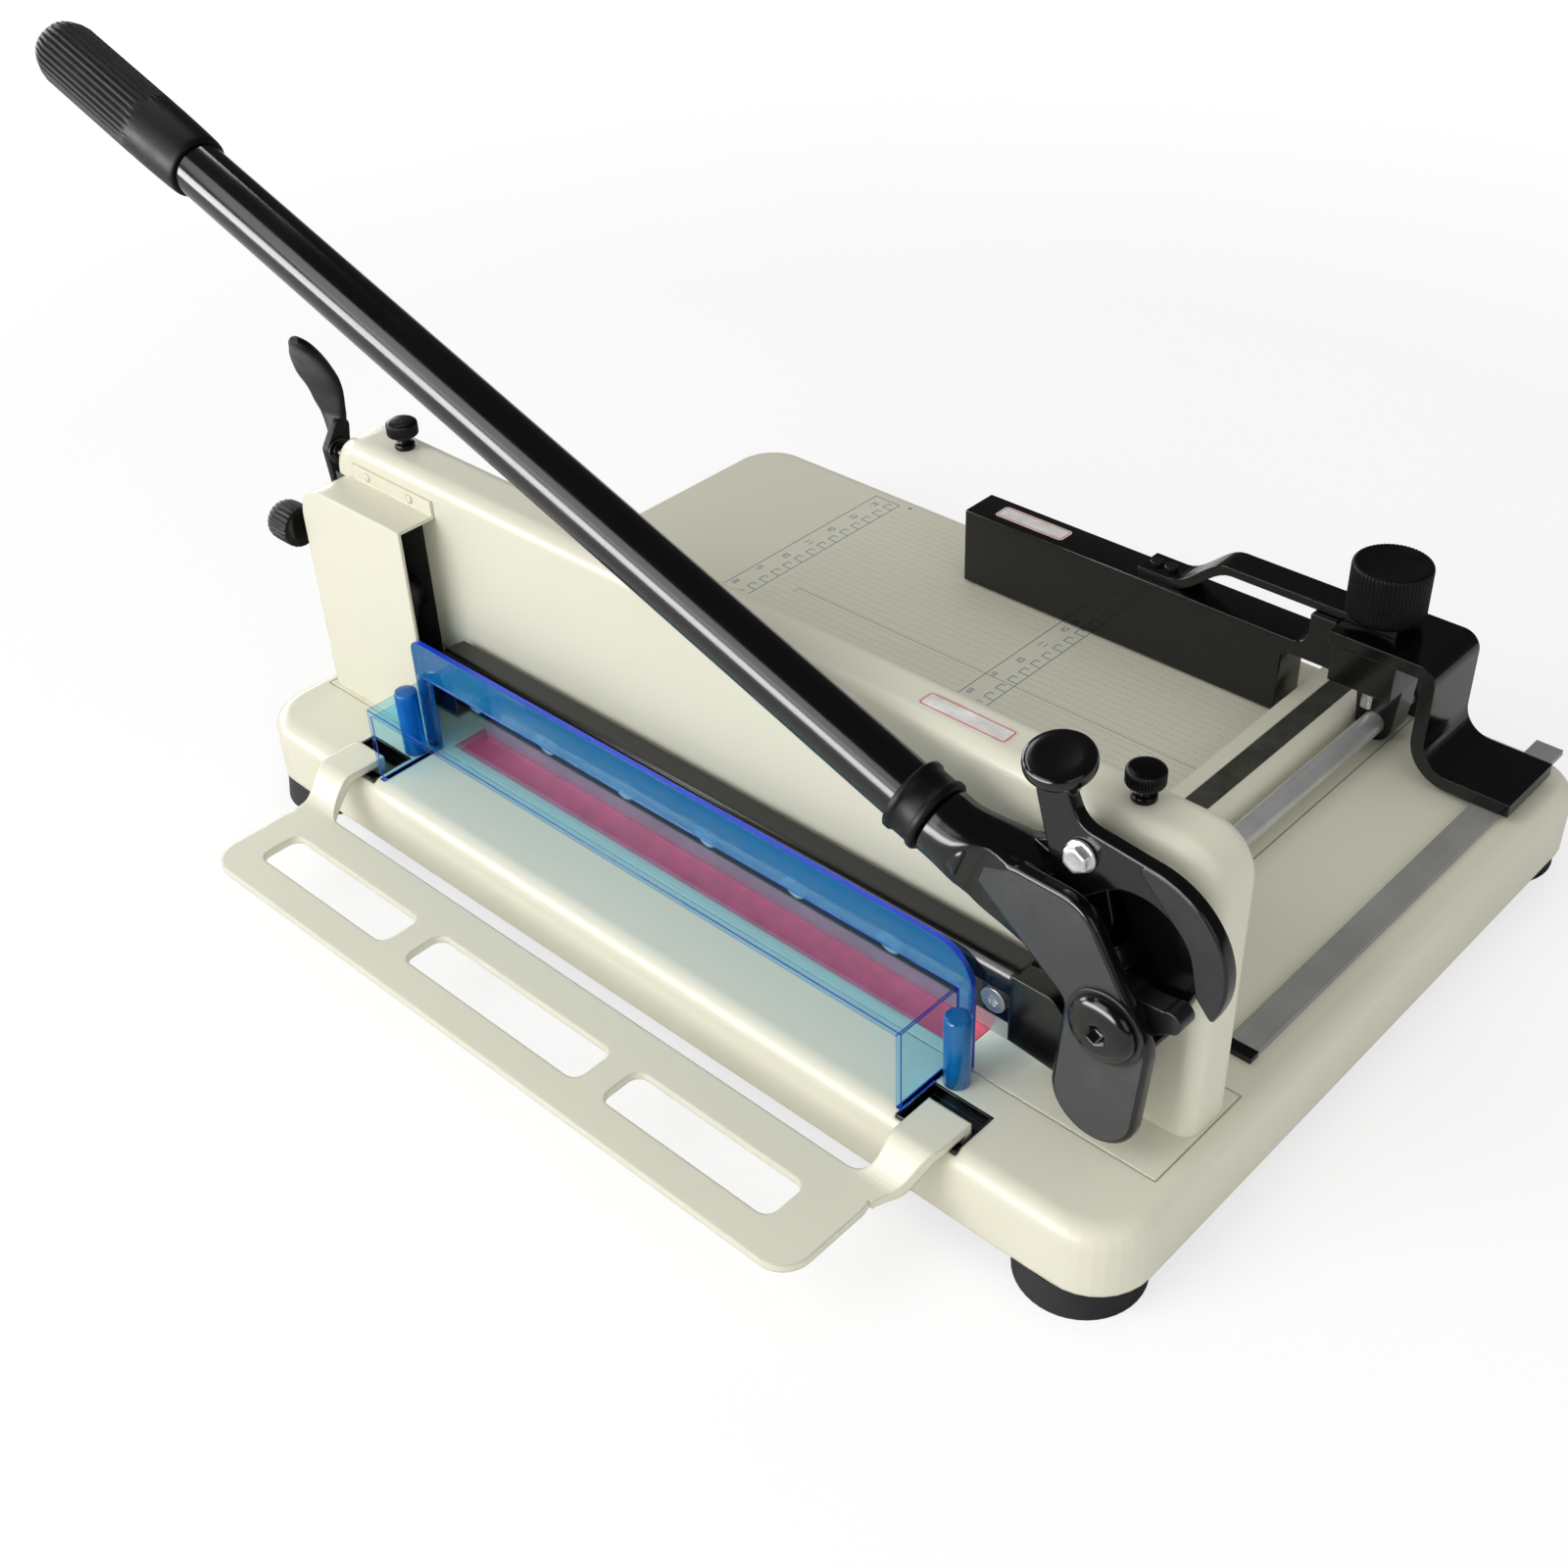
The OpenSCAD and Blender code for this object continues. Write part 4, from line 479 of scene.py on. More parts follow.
def head_plate(pulleys, back, front, rim):
    """A plate of the cutting head, with its outline given around the pivot."""
    x, z, depth = swept(pulleys, back, front, rim)
    return joined(x + PIVOT[0], ahead(depth), z + PIVOT[1])


def smoothstep(t):
    t = np.clip(t, 0.0, 1.0)
    return t * t * (3 - 2 * t)


def superellipse(angle, half_a, half_b, power):
    """Rounded section: half sizes times cosine and sine, each raised to 2/power with its sign kept."""
    a, b = np.cos(angle), np.sin(angle)
    return (half_a * np.sign(a) * np.abs(a) ** (2 / power), half_b * np.sign(b) * np.abs(b) ** (2 / power))


# Lever axis: s along the tube from the pivot, n up from it, y along the machine's depth

LEVER_TILT = np.radians(19.2)
LEVER_OFFSET = 20.1
TUBE_DEPTH = 24.5
ALONG = np.array([-np.cos(LEVER_TILT), np.sin(LEVER_TILT)])
ACROSS = np.array([np.sin(LEVER_TILT), np.cos(LEVER_TILT)])


def on_lever(s, n, y):
    """Point of the lever's own axes: s along the tube, n above its centre line, y towards the rear."""
    x = PIVOT[0] + s * ALONG[0] + (n + LEVER_OFFSET) * ACROSS[0]
    z = PIVOT[1] + s * ALONG[1] + (n + LEVER_OFFSET) * ACROSS[1]
    return joined(x, ahead(TUBE_DEPTH) + y, z)


def lever_turned(s, radius, angle):
    """A radius over rows and angle, turned about the tube's centre line."""
    return on_lever(s[:, None], radius * np.cos(angle), radius * np.sin(angle))


RIB_STEPS = 8
RIB_POWER = 1.5


def fluted(radius, depth, ribs):
    """Radius over rows and angle: the profile less its flutes, each half of one minus a cosine to a power."""
    angle = around(ribs * RIB_STEPS)
    wave = (0.5 - 0.5 * np.cos(ribs * angle)) ** RIB_POWER
    return angle, radius[:, None] - depth[:, None] * wave[None]


def turned_piece(centre, heights, radii, flutes, ribs):
    """Turned form: a profile of heights and radii about an upright axis, with its flutes."""
    angle, radius = fluted(radii, flutes, ribs)
    return joined(centre[0] + radius * np.cos(angle), centre[1] + radius * np.sin(angle), heights[:, None])


# Pieces

class CUTTER_OT_finishes(bpy.types.Operator):
    """Makes the finishes and dresses the solids that stay in view"""

    bl_idname = "cutter.finishes"
    bl_label = "Finishes"

    def execute(self, context):
        FINISHES.update(make_finishes())
        for key, nodes in NODE_FINISH.items():
            for node in nodes:
                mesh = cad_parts[node].data
                for i in range(len(mesh.materials)):
                    mesh.materials[i] = FINISHES[key]
        return {"FINISHED"}


# Plates of the head: pulleys (x, z, radius) from the pivot, and depths in front of the bridge
CHEEK = ((-3.5, -43, 20), (0, -8, 19.3), (-25, 31, 20.5), (-44, 36.5, 15.5), (-58, 40.5, 7), (-28, -3, -8))
REAR_CHEEK = ((-15.5, -42, 12), (0, -3, 17), (4, 30, 24), (-25, 31, 20.5), (-44, 36.5, 15.5), (-58, 40.5, 7),
              (-30, -3, -8))
CATCH_BOLT = (-23.0, 63.7)
LUG = ((CATCH_BOLT[0] - 0.5, CATCH_BOLT[1] - 3.2, 4.4), (-46, 40, 14.0), (-24, 32, 12.0))
CHEEK_FRONT = (23.5, 30.5)
CHEEK_REAR = (2.5, 9.3)
LUG_DEPTH = (10.4, 13.2)

# Depth, radius and share of hexagon along the two bolts of the head
BUTTON = np.array([
    (-16, 7.4, 0), (-15.5, 8, 0), (31.9, 8, 0), (32.1, 14.4, 0), (32.6, 14.9, 0), (33.4, 14.9, 0),
    (34.4, 14.5, 0), (35.4, 13.6, 0), (36.3, 12.2, 0), (36.9, 10.4, 0), (37.2, 8.4, 0), (37.35, 6.4, 0),
    (37.4, 5.3, 0.5), (37.1, 4.5, 1), (33, 4.4, 1), (33, 1, 1)])
HEX_SCREW = np.array([
    (12.4, 3.0, 0), (20.2, 3.0, 0), (20.25, 6.8, 0), (21.2, 6.8, 0), (21.5, 6.4, 0), (21.55, 5.9, 1),
    (24.4, 5.9, 1), (25.1, 5.2, 0.6), (25.2, 3.4, 0), (24.9, 2.6, 0), (24.9, 0.6, 0)])

# Distance along the lever and radius of the collar at the tube's root, with a ridge at each end
COLLAR = np.array([
    (98.2, 13.6), (98.5, 15.6), (99.2, 16.2), (101.0, 16.2), (101.6, 15.7), (102.4, 15.2),
    (109.6, 15.2), (110.4, 15.7), (111.0, 16.2), (113.0, 16.2), (113.6, 15.6), (113.9, 13.6)])
TUBE_R = 13.0
NECK_R = 14.4


def front_turned(centre, profile, count):
    """A turned profile about an axis to the front; where it is a hexagon, the radius is multiplied by the
    cosine of 30 degrees over the cosine of the angle within each sixth."""
    depth, radius, share = profile.T
    angle = around(count)
    flat = np.cos(np.pi / 6) / np.cos((angle + np.pi / 6) % (np.pi / 3) - np.pi / 6)
    r = radius[:, None] * (1 + share[:, None] * (flat[None] - 1))
    return joined(centre[0] + r * np.cos(angle), ahead(depth)[:, None], centre[1] + r * np.sin(angle))


class CUTTER_OT_lever_head(bpy.types.Operator):
    """Forked head of the lever: two cheeks, their lug and the neck that takes the tube"""

    bl_idname = "cutter.lever_head"
    bl_label = "Lever Head"

    def execute(self, context):
        rim = sizes().rim
        head = Shells()
        head.grid(head_plate(CHEEK, *CHEEK_FRONT, rim), 0, 1)
        head.grid(head_plate(REAR_CHEEK, *CHEEK_REAR, rim))
        head.grid(head_plate(LUG, *LUG_DEPTH, 0.6))
        head.grid(self.neck())
        head.piece("lever_head", ("black", "worn"), "lever", "black_enamel", "lever_fork")
        grid_piece(self.tube(), "lever_shaft", "black", "lever", "black_enamel", "lever_tube")
        collar = lever_turned(COLLAR[:, 0], COLLAR[:, 1:], around(72))
        grid_piece(collar, "lever_collar", "plastic", "lever", "black_plastic", "lever_ferrule")
        button = front_turned(PIVOT, BUTTON, 72)
        grid_piece(button, "pivot_button", "black", "frame", "black_steel", "pivot_bolt")
        screw = front_turned(PIVOT + CATCH_BOLT, HEX_SCREW, 72)
        grid_piece(screw, "catch_screw", "zinc", "lever", "zinc_steel", "catch_bolt")
        return {"FINISHED"}

    def tube(self):
        """Lever tube: a circle carried along the lever, with its ends slightly drawn in."""
        s = np.r_[78.2, 78.8, np.linspace(80.0, 676.0, 41), 678.4, 679.0]
        r = np.full(len(s), TUBE_R)
        r[[0, -1]] -= 0.8
        return lever_turned(s, r[:, None], around(96))

    def neck(self):
        """Loft from the round socket to the flat root between the cheeks: a superellipse whose half sizes,
        power and centre follow a smooth step along the lever, cut flat just behind the front cheek's face."""
        s = np.array([98.0, 96.5, 93, 90, 87, 84, 81, 78, 75, 72, 69, 66, 63, 60, 57, 54, 49, 45, 43.5])
        t = smoothstep((92.0 - s) / 42.0)
        half_n, half_y = NECK_R + 2.8 * t, NECK_R - 0.7 * t
        for half in (half_n, half_y):
            half[0] -= 1.0
            half[-1] -= 1.6
        power = 2.0 + 3.5 * t
        drop = -3.0 * t
        back = (TUBE_DEPTH - 16.5) * t
        n, y = superellipse(around(64)[None], half_n[:, None], half_y[:, None], power[:, None])
        face = TUBE_DEPTH - CHEEK_FRONT[1] + 0.15 - 16.0 * smoothstep((s - 70.0) / 26.0)
        return on_lever(s[:, None], n + drop[:, None], np.maximum(y + back[:, None], face[:, None]))


CATCH = ((36.8, 18.7, 1.3), (4.3, 35.1, 37.5), (-17.5, 86.5, -11.4), (-37.5, 84.0, 7.8), (-26.5, 53.0, 10.0),
         (3.0, 33.5, -24.0), (30.5, 25.5, 1.2), (30.8, 19.6, -4.5))
CATCH_FACE = ((36.4, 19.4, 0.8), (4.3, 35.1, 36.3), (4.7, 69.7, 2.0), (3.0, 33.5, -24.8), (31.0, 25.4, 0.7))
CATCH_DEPTH = (13.4, 19.9)

# Middle and lean of the thumb pad, then height, half width and half depth along its axis
PAD_MID = (-37.0, 96.5)
PAD_LEAN = np.radians(12.0)
PAD = np.array([
    (-13.0, 6.0, 3.2), (-11.5, 6.8, 3.6), (-9.5, 7.6, 4.2), (-7.5, 8.4, 5.2), (-5.5, 9.6, 7.0),
    (-3.8, 11.0, 9.4), (-2.4, 12.4, 11.8), (-1.2, 13.4, 13.2), (0.0, 13.9, 13.9), (1.2, 14.0, 14.0),
    (2.6, 14.0, 14.0), (3.8, 13.7, 13.7), (4.6, 13.0, 13.0), (4.9, 12.0, 12.0), (4.6, 8.0, 8.0),
    (4.4, 1.5, 1.5)])


class CUTTER_OT_catch(bpy.types.Operator):
    """Safety catch: hooked plate with a round thumb pad on its stem"""

    bl_idname = "cutter.safety_catch"
    bl_label = "Safety Catch"

    def execute(self, context):
        catch = Shells()
        catch.grid(head_plate(CATCH, *CATCH_DEPTH, 1.0))
        catch.grid(head_plate(CATCH_FACE, CATCH_DEPTH[1] - 0.6, CATCH_DEPTH[1] + 0.25, 0.2), 1)
        catch.grid(self.pad())
        catch.piece("catch_hook", ("black", "worn_hook"), "catch", "black_enamel", "safety_catch")
        return {"FINISHED"}

    def pad(self):
        """Thumb pad and its fold: rounded sections that widen from the flat stem to a disc, dished on top,
        along an axis that leans forward; each section is a superellipse that turns into a circle."""
        h, half_x, half_y = PAD.T[:, :, None]
        power = 2.0 + 1.5 * smoothstep((-4.0 - h) / 6.0)
        u, v = superellipse(around(64)[None], half_x, half_y, power)
        y = ahead(sum(CATCH_DEPTH) / 2) + v * np.cos(PAD_LEAN) - h * np.sin(PAD_LEAN)
        z = PIVOT[1] + PAD_MID[1] + v * np.sin(PAD_LEAN) + h * np.cos(PAD_LEAN)
        return joined(PIVOT[0] + PAD_MID[0] + u, y, z)


# Pawl plate: pulleys (y, z, radius) from the middle of the base, and its span across the machine
PAWL = ((-130.6, 152.0, 1.2), (-126.2, 176, 6.2), (-122.6, 189.5, 4.6), (-128.4, 179, 5.6))
PAWL_SPAN = (-270.5, -265.5)

# Paddle: heights of its sections, then heights and values of its depth, side edges and half thickness
PADDLE_ROWS = (181, 186, 190, 194, 198, 202, 205, 208, 211, 215, 219, 224, 229, 233, 236.5, 239, 240.8, 241.6)
PADDLE = (
    ((181, 188, 194, 207, 214, 221, 228, 234, 238, 242),
     (-126.0, -123.0, -120.6, -119.8, -121.0, -123.8, -127.6, -131.8, -135.0, -138.5)),
    ((181, 187, 192, 197, 204, 206, 208.5, 212, 216, 220, 225, 230, 235, 239, 241.6),
     (-271.0, -276.0, -282.5, -288.5, -293.5, -297.5, -300.5, -302.0, -301.5, -299.5, -295.5, -289.5, -283.0,
      -277.5, -272.5)),
    ((181, 205, 213, 229, 235, 239, 241.6), (-265.7, -264.6, -263.6, -262.4, -262.0, -263.2, -266.5)),
    ((181, 188, 195, 236, 240, 241.6), (3.8, 3.6, 3.5, 3.5, 2.8, 1.3)))


class CUTTER_OT_release(bpy.types.Operator):
    """Release lever: a pawl plate with a paddle that leans forward"""

    bl_idname = "cutter.release_lever"
    bl_label = "Release Lever"

    def execute(self, context):
        release = Shells()
        release.grid(self.paddle())
        release.grid(self.plate())
        release.piece("release_paddle", ("plastic",), "release", "black_enamel", "release_lever")
        return {"FINISHED"}

    def paddle(self):
        """Rounded sections across a curved centre line, read along the height and smoothed."""
        z = np.array(PADDLE_ROWS)
        y, left, right, half_t = (np.interp(z, *table) for table in PADDLE)
        run = np.linspace(0.0, 1.0, len(z))
        fine = np.linspace(0.0, 1.0, 61)
        z, y, left, right, half_t = (np.interp(fine, run, v) for v in (z, y, left, right, half_t))
        for v in (z, y, left, right, half_t):
            v[1:-1] = np.convolve(v, (0.25, 0.5, 0.25), "valid")
        dy, dz = np.gradient(y), np.gradient(z)
        size = np.hypot(dy, dz)
        a, b = superellipse(around(40)[None], ((right - left) / 2)[:, None], half_t[:, None], 2.6)
        x = ((left + right) / 2)[:, None] + a
        return joined(x, y[:, None] + b * (dz / size)[:, None], z[:, None] - b * (dy / size)[:, None])

    def plate(self):
        """Pawl plate: a belt outline around the pivot boss, the neck and the pawl's tip."""
        y, z, x = swept(PAWL, *PAWL_SPAN, 0.8, 4)
        return joined(x, y, z)


# Dark sheet inside the left cover, painted shade of its inside that also stands in for the black swing link
# seen there: its two far corners, with the depth in front of the bridge
SHADE_SHEET = ((-262.0, 0.26, 62.0), (-193.0, 0.04, 170.0))


class CUTTER_OT_cover_screws(bpy.types.Operator):
    """Two small painted screws of the left cover, low domes that point to the front, and a dark sheet inside
    it that paints the shade there
    """

    bl_idname = "cutter.cover_screws"
    bl_label = "Cover Screws"

    def execute(self, context):
        low, high = node_span("left_cover_screws")
        z = (low[2] + high[2]) / 2
        half = (high[2] - low[2]) / 2
        out = ahead(low[1])
        depth = np.array([ahead(high[1]), out - 2.2, out - 2.0, out - 1.8, out - 1.6, out - 1.55])
        dome = np.c_[depth, (1.4, 1.5, 2.6, 2.5, 1.8, 0.6), np.zeros(len(depth))]
        screws = Shells()
        for x in (low[0] + half, high[0] - half):
            screws.grid(front_turned((x, z), dome, 32))
        screws.piece("cover_screws", ("ivory",), "frame", "cream_enamel", "left_cover_screws")
        # Dark sheet on the bridge inside the cover: painted shade, also standing in for the black swing link
        shade_sheet = Shells()
        shade_sheet.bars(*([[x, ahead(depth), z]] for x, depth, z in SHADE_SHEET))
        shade_sheet.piece("cover_shade_sheet", ("sheet",), "frame", "dark_sheet")
        return {"FINISHED"}


# Ribs of the crank's grip, and how far it sits below its solid's middle
CRANK_RIBS = 24
CRANK_DROP = 1.2


class CUTTER_OT_grips(bpy.types.Operator):
    """Ribbed grips of the lever and of the clamp's crank"""

    bl_idname = "cutter.grips"
    bl_label = "Grips"

    def execute(self, context):
        s = np.r_[571.0, 571.3, 572.2, 574.0, 578.0, 585.0, 593.0, 600.0, 605.0, 607.0, 609.0, 612.0,
                  np.linspace(617.0, 674.0, 11), 677.0, 680.0, 682.5, 684.5, 686.2, 687.6, 688.6, 689.2]
        r = np.r_[14.0, 14.6, 15.0, 15.2, 15.4, 15.6, 15.8, 15.9, 15.9, 16.0, 16.0, 16.0,
                  np.full(11, 16.0), 15.5, 14.5, 13.6, 12.5, 11.0, 9.0, 6.4, 2.6]
        flute = 1.15 * smoothstep((s - 605.0) / 8.0) * smoothstep((687.0 - s) / 8.0)
        angle, radius = fluted(r, flute, sizes().grip_ribs)
        grip = lever_turned(s, radius, angle)
        grid_piece(grip, "lever_handgrip", "plastic", "lever", "black_plastic", "lever_grip")
        low, high = node_span("crank_grip")
        _, y0, z0 = node_middle("crank_grip") - (0.0, 0.0, CRANK_DROP)
        end, root = low[0] + 3.0, high[0] + 5.8
        x = np.array([root, root - 0.3, root - 0.8, root - 4.0, end + 6.0, end + 3.2,
                      end + 1.6, end + 0.6, end + 0.1, end])
        r = np.array([10.2, 10.6, 10.9, 11.0, 11.0, 10.9, 10.4, 9.5, 7.8, 2.6])
        flute = 0.8 * np.array([0, 0.2, 0.6, 1, 1, 1, 0.8, 0.4, 0, 0])
        crank = np.roll(turned_piece((y0, z0), x, r, flute, CRANK_RIBS), 1, axis=-1)
        grid_piece(crank, "crank_handgrip", "plastic", "crank", "black_plastic", "crank_grip")
        return {"FINISHED"}


# Top of a thumb screw above the bridge; then height above the bridge, radius and share of flute
THUMB_H = 16.5
THUMB = np.array([
    (-16.0, 3.0, 0), (-0.2, 3.0, 0), (0.0, 4.8, 0), (0.4, 5.1, 0), (2.4, 5.1, 0), (2.9, 4.6, 0),
    (3.3, 3.3, 0), (6.8, 3.3, 0), (7.1, 6.8, 0.2), (7.4, 7.5, 0.6), (8.0, 7.9, 1), (13.2, 7.9, 1),
    (13.9, 7.5, 0.6), (14.4, 6.7, 0.2), (14.7, 5.6, 0), (14.5, 1.0, 0)])


class CUTTER_OT_knobs(bpy.types.Operator):
    """Clamping knob of the gauge and the two thumb screws on the bridge"""

    bl_idname = "cutter.knobs"
    bl_label = "Knobs"

    def execute(self, context):
        low, high = node_span("clamping_knob")
        z0, z1 = low[2], high[2]
        full = (high[0] - low[0]) / 2
        z = np.r_[z0, z0 + 0.4, z0 + 1.2, z0 + 2.2, np.linspace(z0 + 5, z1 - 5, 5), z1 - 2.2, z1 - 1.4,
                  z1 - 0.8, z1 - 0.3, z1, z1, z1 - 0.3, z1 - 0.4]
        r = full - np.r_[1.6, 0.9, 0.3, 0, np.zeros(5), 0, 0.1, 0.3, 0.8, 1.6, 2.6, 3.4, full - 2.0]
        flute = 0.75 * np.r_[0, 0.4, 0.8, 1, np.ones(5), 1, 1, 0.9, 0.7, 0.3, 0, 0, 0]
        knob = turned_piece(node_middle("clamping_knob"), z, r, flute, sizes().knob_flutes)
        grid_piece(knob, "gauge_knob", "plastic", "knob", "black_plastic", "clamping_knob")
        for side in ("left", "right"):
            node = "thumb_screw_" + side
            rise, r, flute = THUMB.T
            z = node_span(node)[1][2] - THUMB_H + rise
            thumb = turned_piece(node_middle(node), z, r, 0.5 * flute, sizes().thumb_flutes)
            grid_piece(thumb, "thumb_knob_" + side, "gloss", "thumb_" + side, "black_plastic", node)
        return {"FINISHED"}


# Fence: pulleys (x, z, radius) from the middle of the base
FENCE = ((-70.5, 51.0, 1.0), (132.0, 51.0, 1.0), (136.0, 84.0, -3.0), (160.0, 88.0, 1.0), (160.0, 113.5, 1.0),
         (147.0, 113.5, 1.0), (138.0, 103.5, -8.0), (-70.5, 94.4, 1.0))


# Hub on the rod: wall, half width at the top, play and front end; foot and width of the carriage's block
HUB_WALL = 4.0
HUB_HALF = 13.0
HUB_PLAY = 0.25
HUB_FRONT = 156.0
BLOCK_FOOT = 84.0
BLOCK_W = 34.0


class CUTTER_OT_gauge(bpy.types.Operator):
    """Fence of the back gauge with its raised end, and the hub that slides on the rod"""

    bl_idname = "cutter.gauge"
    bl_label = "Back Gauge"

    def execute(self, context):
        low, high = node_span("gauge_fence")
        bar = head_plate(np.array(FENCE) - (*PIVOT, 0.0), ahead(high[1]), ahead(low[1]), 0.8)
        grid_piece(bar, "fence_bar", "black", "gauge", "black_enamel", "gauge_fence")
        hub = Shells()
        hub.ring(self.hub())
        low, high = node_span("gauge_hub")
        hub.bars([[low[0], low[1] + 0.8, BLOCK_FOOT]], [[low[0] + BLOCK_W, high[1] - 0.8, high[2]]])
        hub.piece("rod_hub", ("black",), "gauge", "black_enamel", "gauge_hub")
        return {"FINISHED"}

    def hub(self):
        """Hub: a belt outline around the rod and the carriage's underside, less the rod's bore; both outlines
        are read at the same angles about the rod and carried through the depth."""
        low, high = node_span("guide_rod")
        x, _, z = node_middle("guide_rod")
        r = (high[0] - low[0]) / 2
        _, rear, top = node_span("gauge_hub")[1]
        foot = (x, z, r + HUB_WALL)
        outline, _ = belt((foot, (x + HUB_HALF, top - 1.0, 1.0), (x - HUB_HALF, top - 1.0, 1.0)), 0.8)
        outer = outline - (x, z)
        bearing = np.arctan2(outer[:, 1], outer[:, 0])
        inner = (r + HUB_PLAY) * np.stack([np.cos(bearing), np.sin(bearing)], axis=-1)
        rows = [np.c_[flat[:, 0] + x, np.full(len(flat), y), flat[:, 1] + z]
                for flat, y in ((outer, HUB_FRONT), (outer, rear), (inner, rear), (inner, HUB_FRONT))]
        return np.array(rows)


# Depth that counts as the guard's rear wall, and the area below which a face is a cut edge
WALL_T = 3.2
EDGE_AREA = 1200.0

# Radius of a post from its foot to its rounded top
POST_R = np.array([5.5, 5.9, 5.9, 5.5, 4.9, 1.0])


class CUTTER_OT_guard(bpy.types.Operator):
    """Clear guard: the solid's own walls with polished, darker edges, and a painted highlight on the rear
    wall's top edge
    """

    bl_idname = "cutter.guard"
    bl_label = "Guard"

    def execute(self, context):
        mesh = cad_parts["guard"].data.copy()
        mesh.name = "clear_guard"
        work = bmesh.new()
        work.from_mesh(mesh)
        bmesh.ops.remove_doubles(work, verts=work.verts, dist=1e-5)
        bmesh.ops.dissolve_limit(work, angle_limit=0.01, verts=work.verts, edges=work.edges)
        work.to_mesh(mesh)
        work.free()
        mesh.materials.clear()
        for key in ("pale", "deep", "edge", "rim"):
            mesh.materials.append(FINISHES[key])
        centre, normal = (face_values(mesh, "center", 3) - ORIGIN) / MM, face_values(mesh, "normal", 3)
        area = face_values(mesh, "area", 1)[:, 0] / MM ** 2
        wall = centre[:, 1] > node_span("guard")[1][1] - WALL_T
        index = np.where(wall, 1, 0)
        index[area < EDGE_AREA] = 2
        # Upward faces of the rear wall take the brighter edge blue: painted highlight where light falls on
        # the top
        index[wall & (normal[:, 2] > 0.5)] = 3
        index[wall & (np.abs(normal[:, 0]) > 0.7)] = 2
        mesh.polygons.foreach_set("material_index", index.astype(np.int32))
        piece = bpy.data.objects.new("clear_guard", mesh)
        bpy.context.scene.collection.objects.link(piece)
        bevel = piece.modifiers.new("polished_edges", "BEVEL")
        bevel.width = 0.4 * MM
        bevel.segments = 2
        bevel.limit_method = "ANGLE"
        bevel.angle_limit = 0.6
        bevel.material = 2
        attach(piece, "frame")
        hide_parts("guard")
        low, high = node_span("guard_posts")
        half = (high[1] - low[1]) / 2
        z = np.array([low[2], low[2] + 0.5, high[2] - 3.6, high[2] - 2.9, high[2] - 2.6, high[2] - 2.6])
        posts = Shells()
        for x in (low[0] + half + 1.0, high[0] - half - 1.0):
            posts.grid(turned_piece((x, low[1] + half), z, POST_R, np.zeros(len(z)), 6))
        posts.piece("clear_posts", ("post",), "frame", "blue_acrylic", "guard_posts")
        return {"FINISHED"}


# Corners of the seven strokes of a figure, and the strokes of each figure from 0 to 9
STROKES = {"a": (0, 2, 1, 2), "b": (1, 1, 1, 2), "c": (1, 0, 1, 1), "d": (0, 0, 1, 0), "e": (0, 0, 0, 1),
           "f": (0, 1, 0, 2), "g": (0, 1, 1, 1)}
FIGURES = ("abcdef", "bc", "abged", "abgcd", "fgbc", "afgcd", "afgedc", "abc", "abcdefg", "abcdfg")

# Sides of the two scales, their ends along the depth, width of a line, and a mark beside the left scale
SCALES = ((-176.5, -156.8), (-2.6, 17.2))
SCALE_SPAN = (-95.0, 188.0)
SCALE_LINE = 0.6
SCALE_MARK = ((-150.6, 188.0), (-148.6, 190.0))

# Dashed rows: places along the depth, starts and length of the dashes, and the gap at the right scale
DASH_ROWS = np.arange(-96.0, 192.0, 5.0)
DASH_STARTS = np.arange(-153.0, 128.0, 2.6)
DASH_LENGTH = 1.5
DASH_GAP = (-4.0, 18.5)

# Lines on the table: lowest and highest corners in plan
TABLE_LINES = (
    ("table_cross_line", "grey_ink", ((-139.0, 77.1), (-139.0, 72.0)), ((131.0, 77.5), (-138.6, 77.5))),
    ("table_seam", "grey_ink", (190.0, -70.0), (190.7, 186.0)),
    ("table_line", "blue_ink", (132.2, -100.0), (132.9, 196.0)))

# Blank labels: finish, inset and height of each layer, and the rounding of the corners
LABEL_LAYERS = ((0, 0.0, 0.06), (1, 0.9, 0.10), (0, 1.5, 0.14))
LABEL_ROUND = 2.4


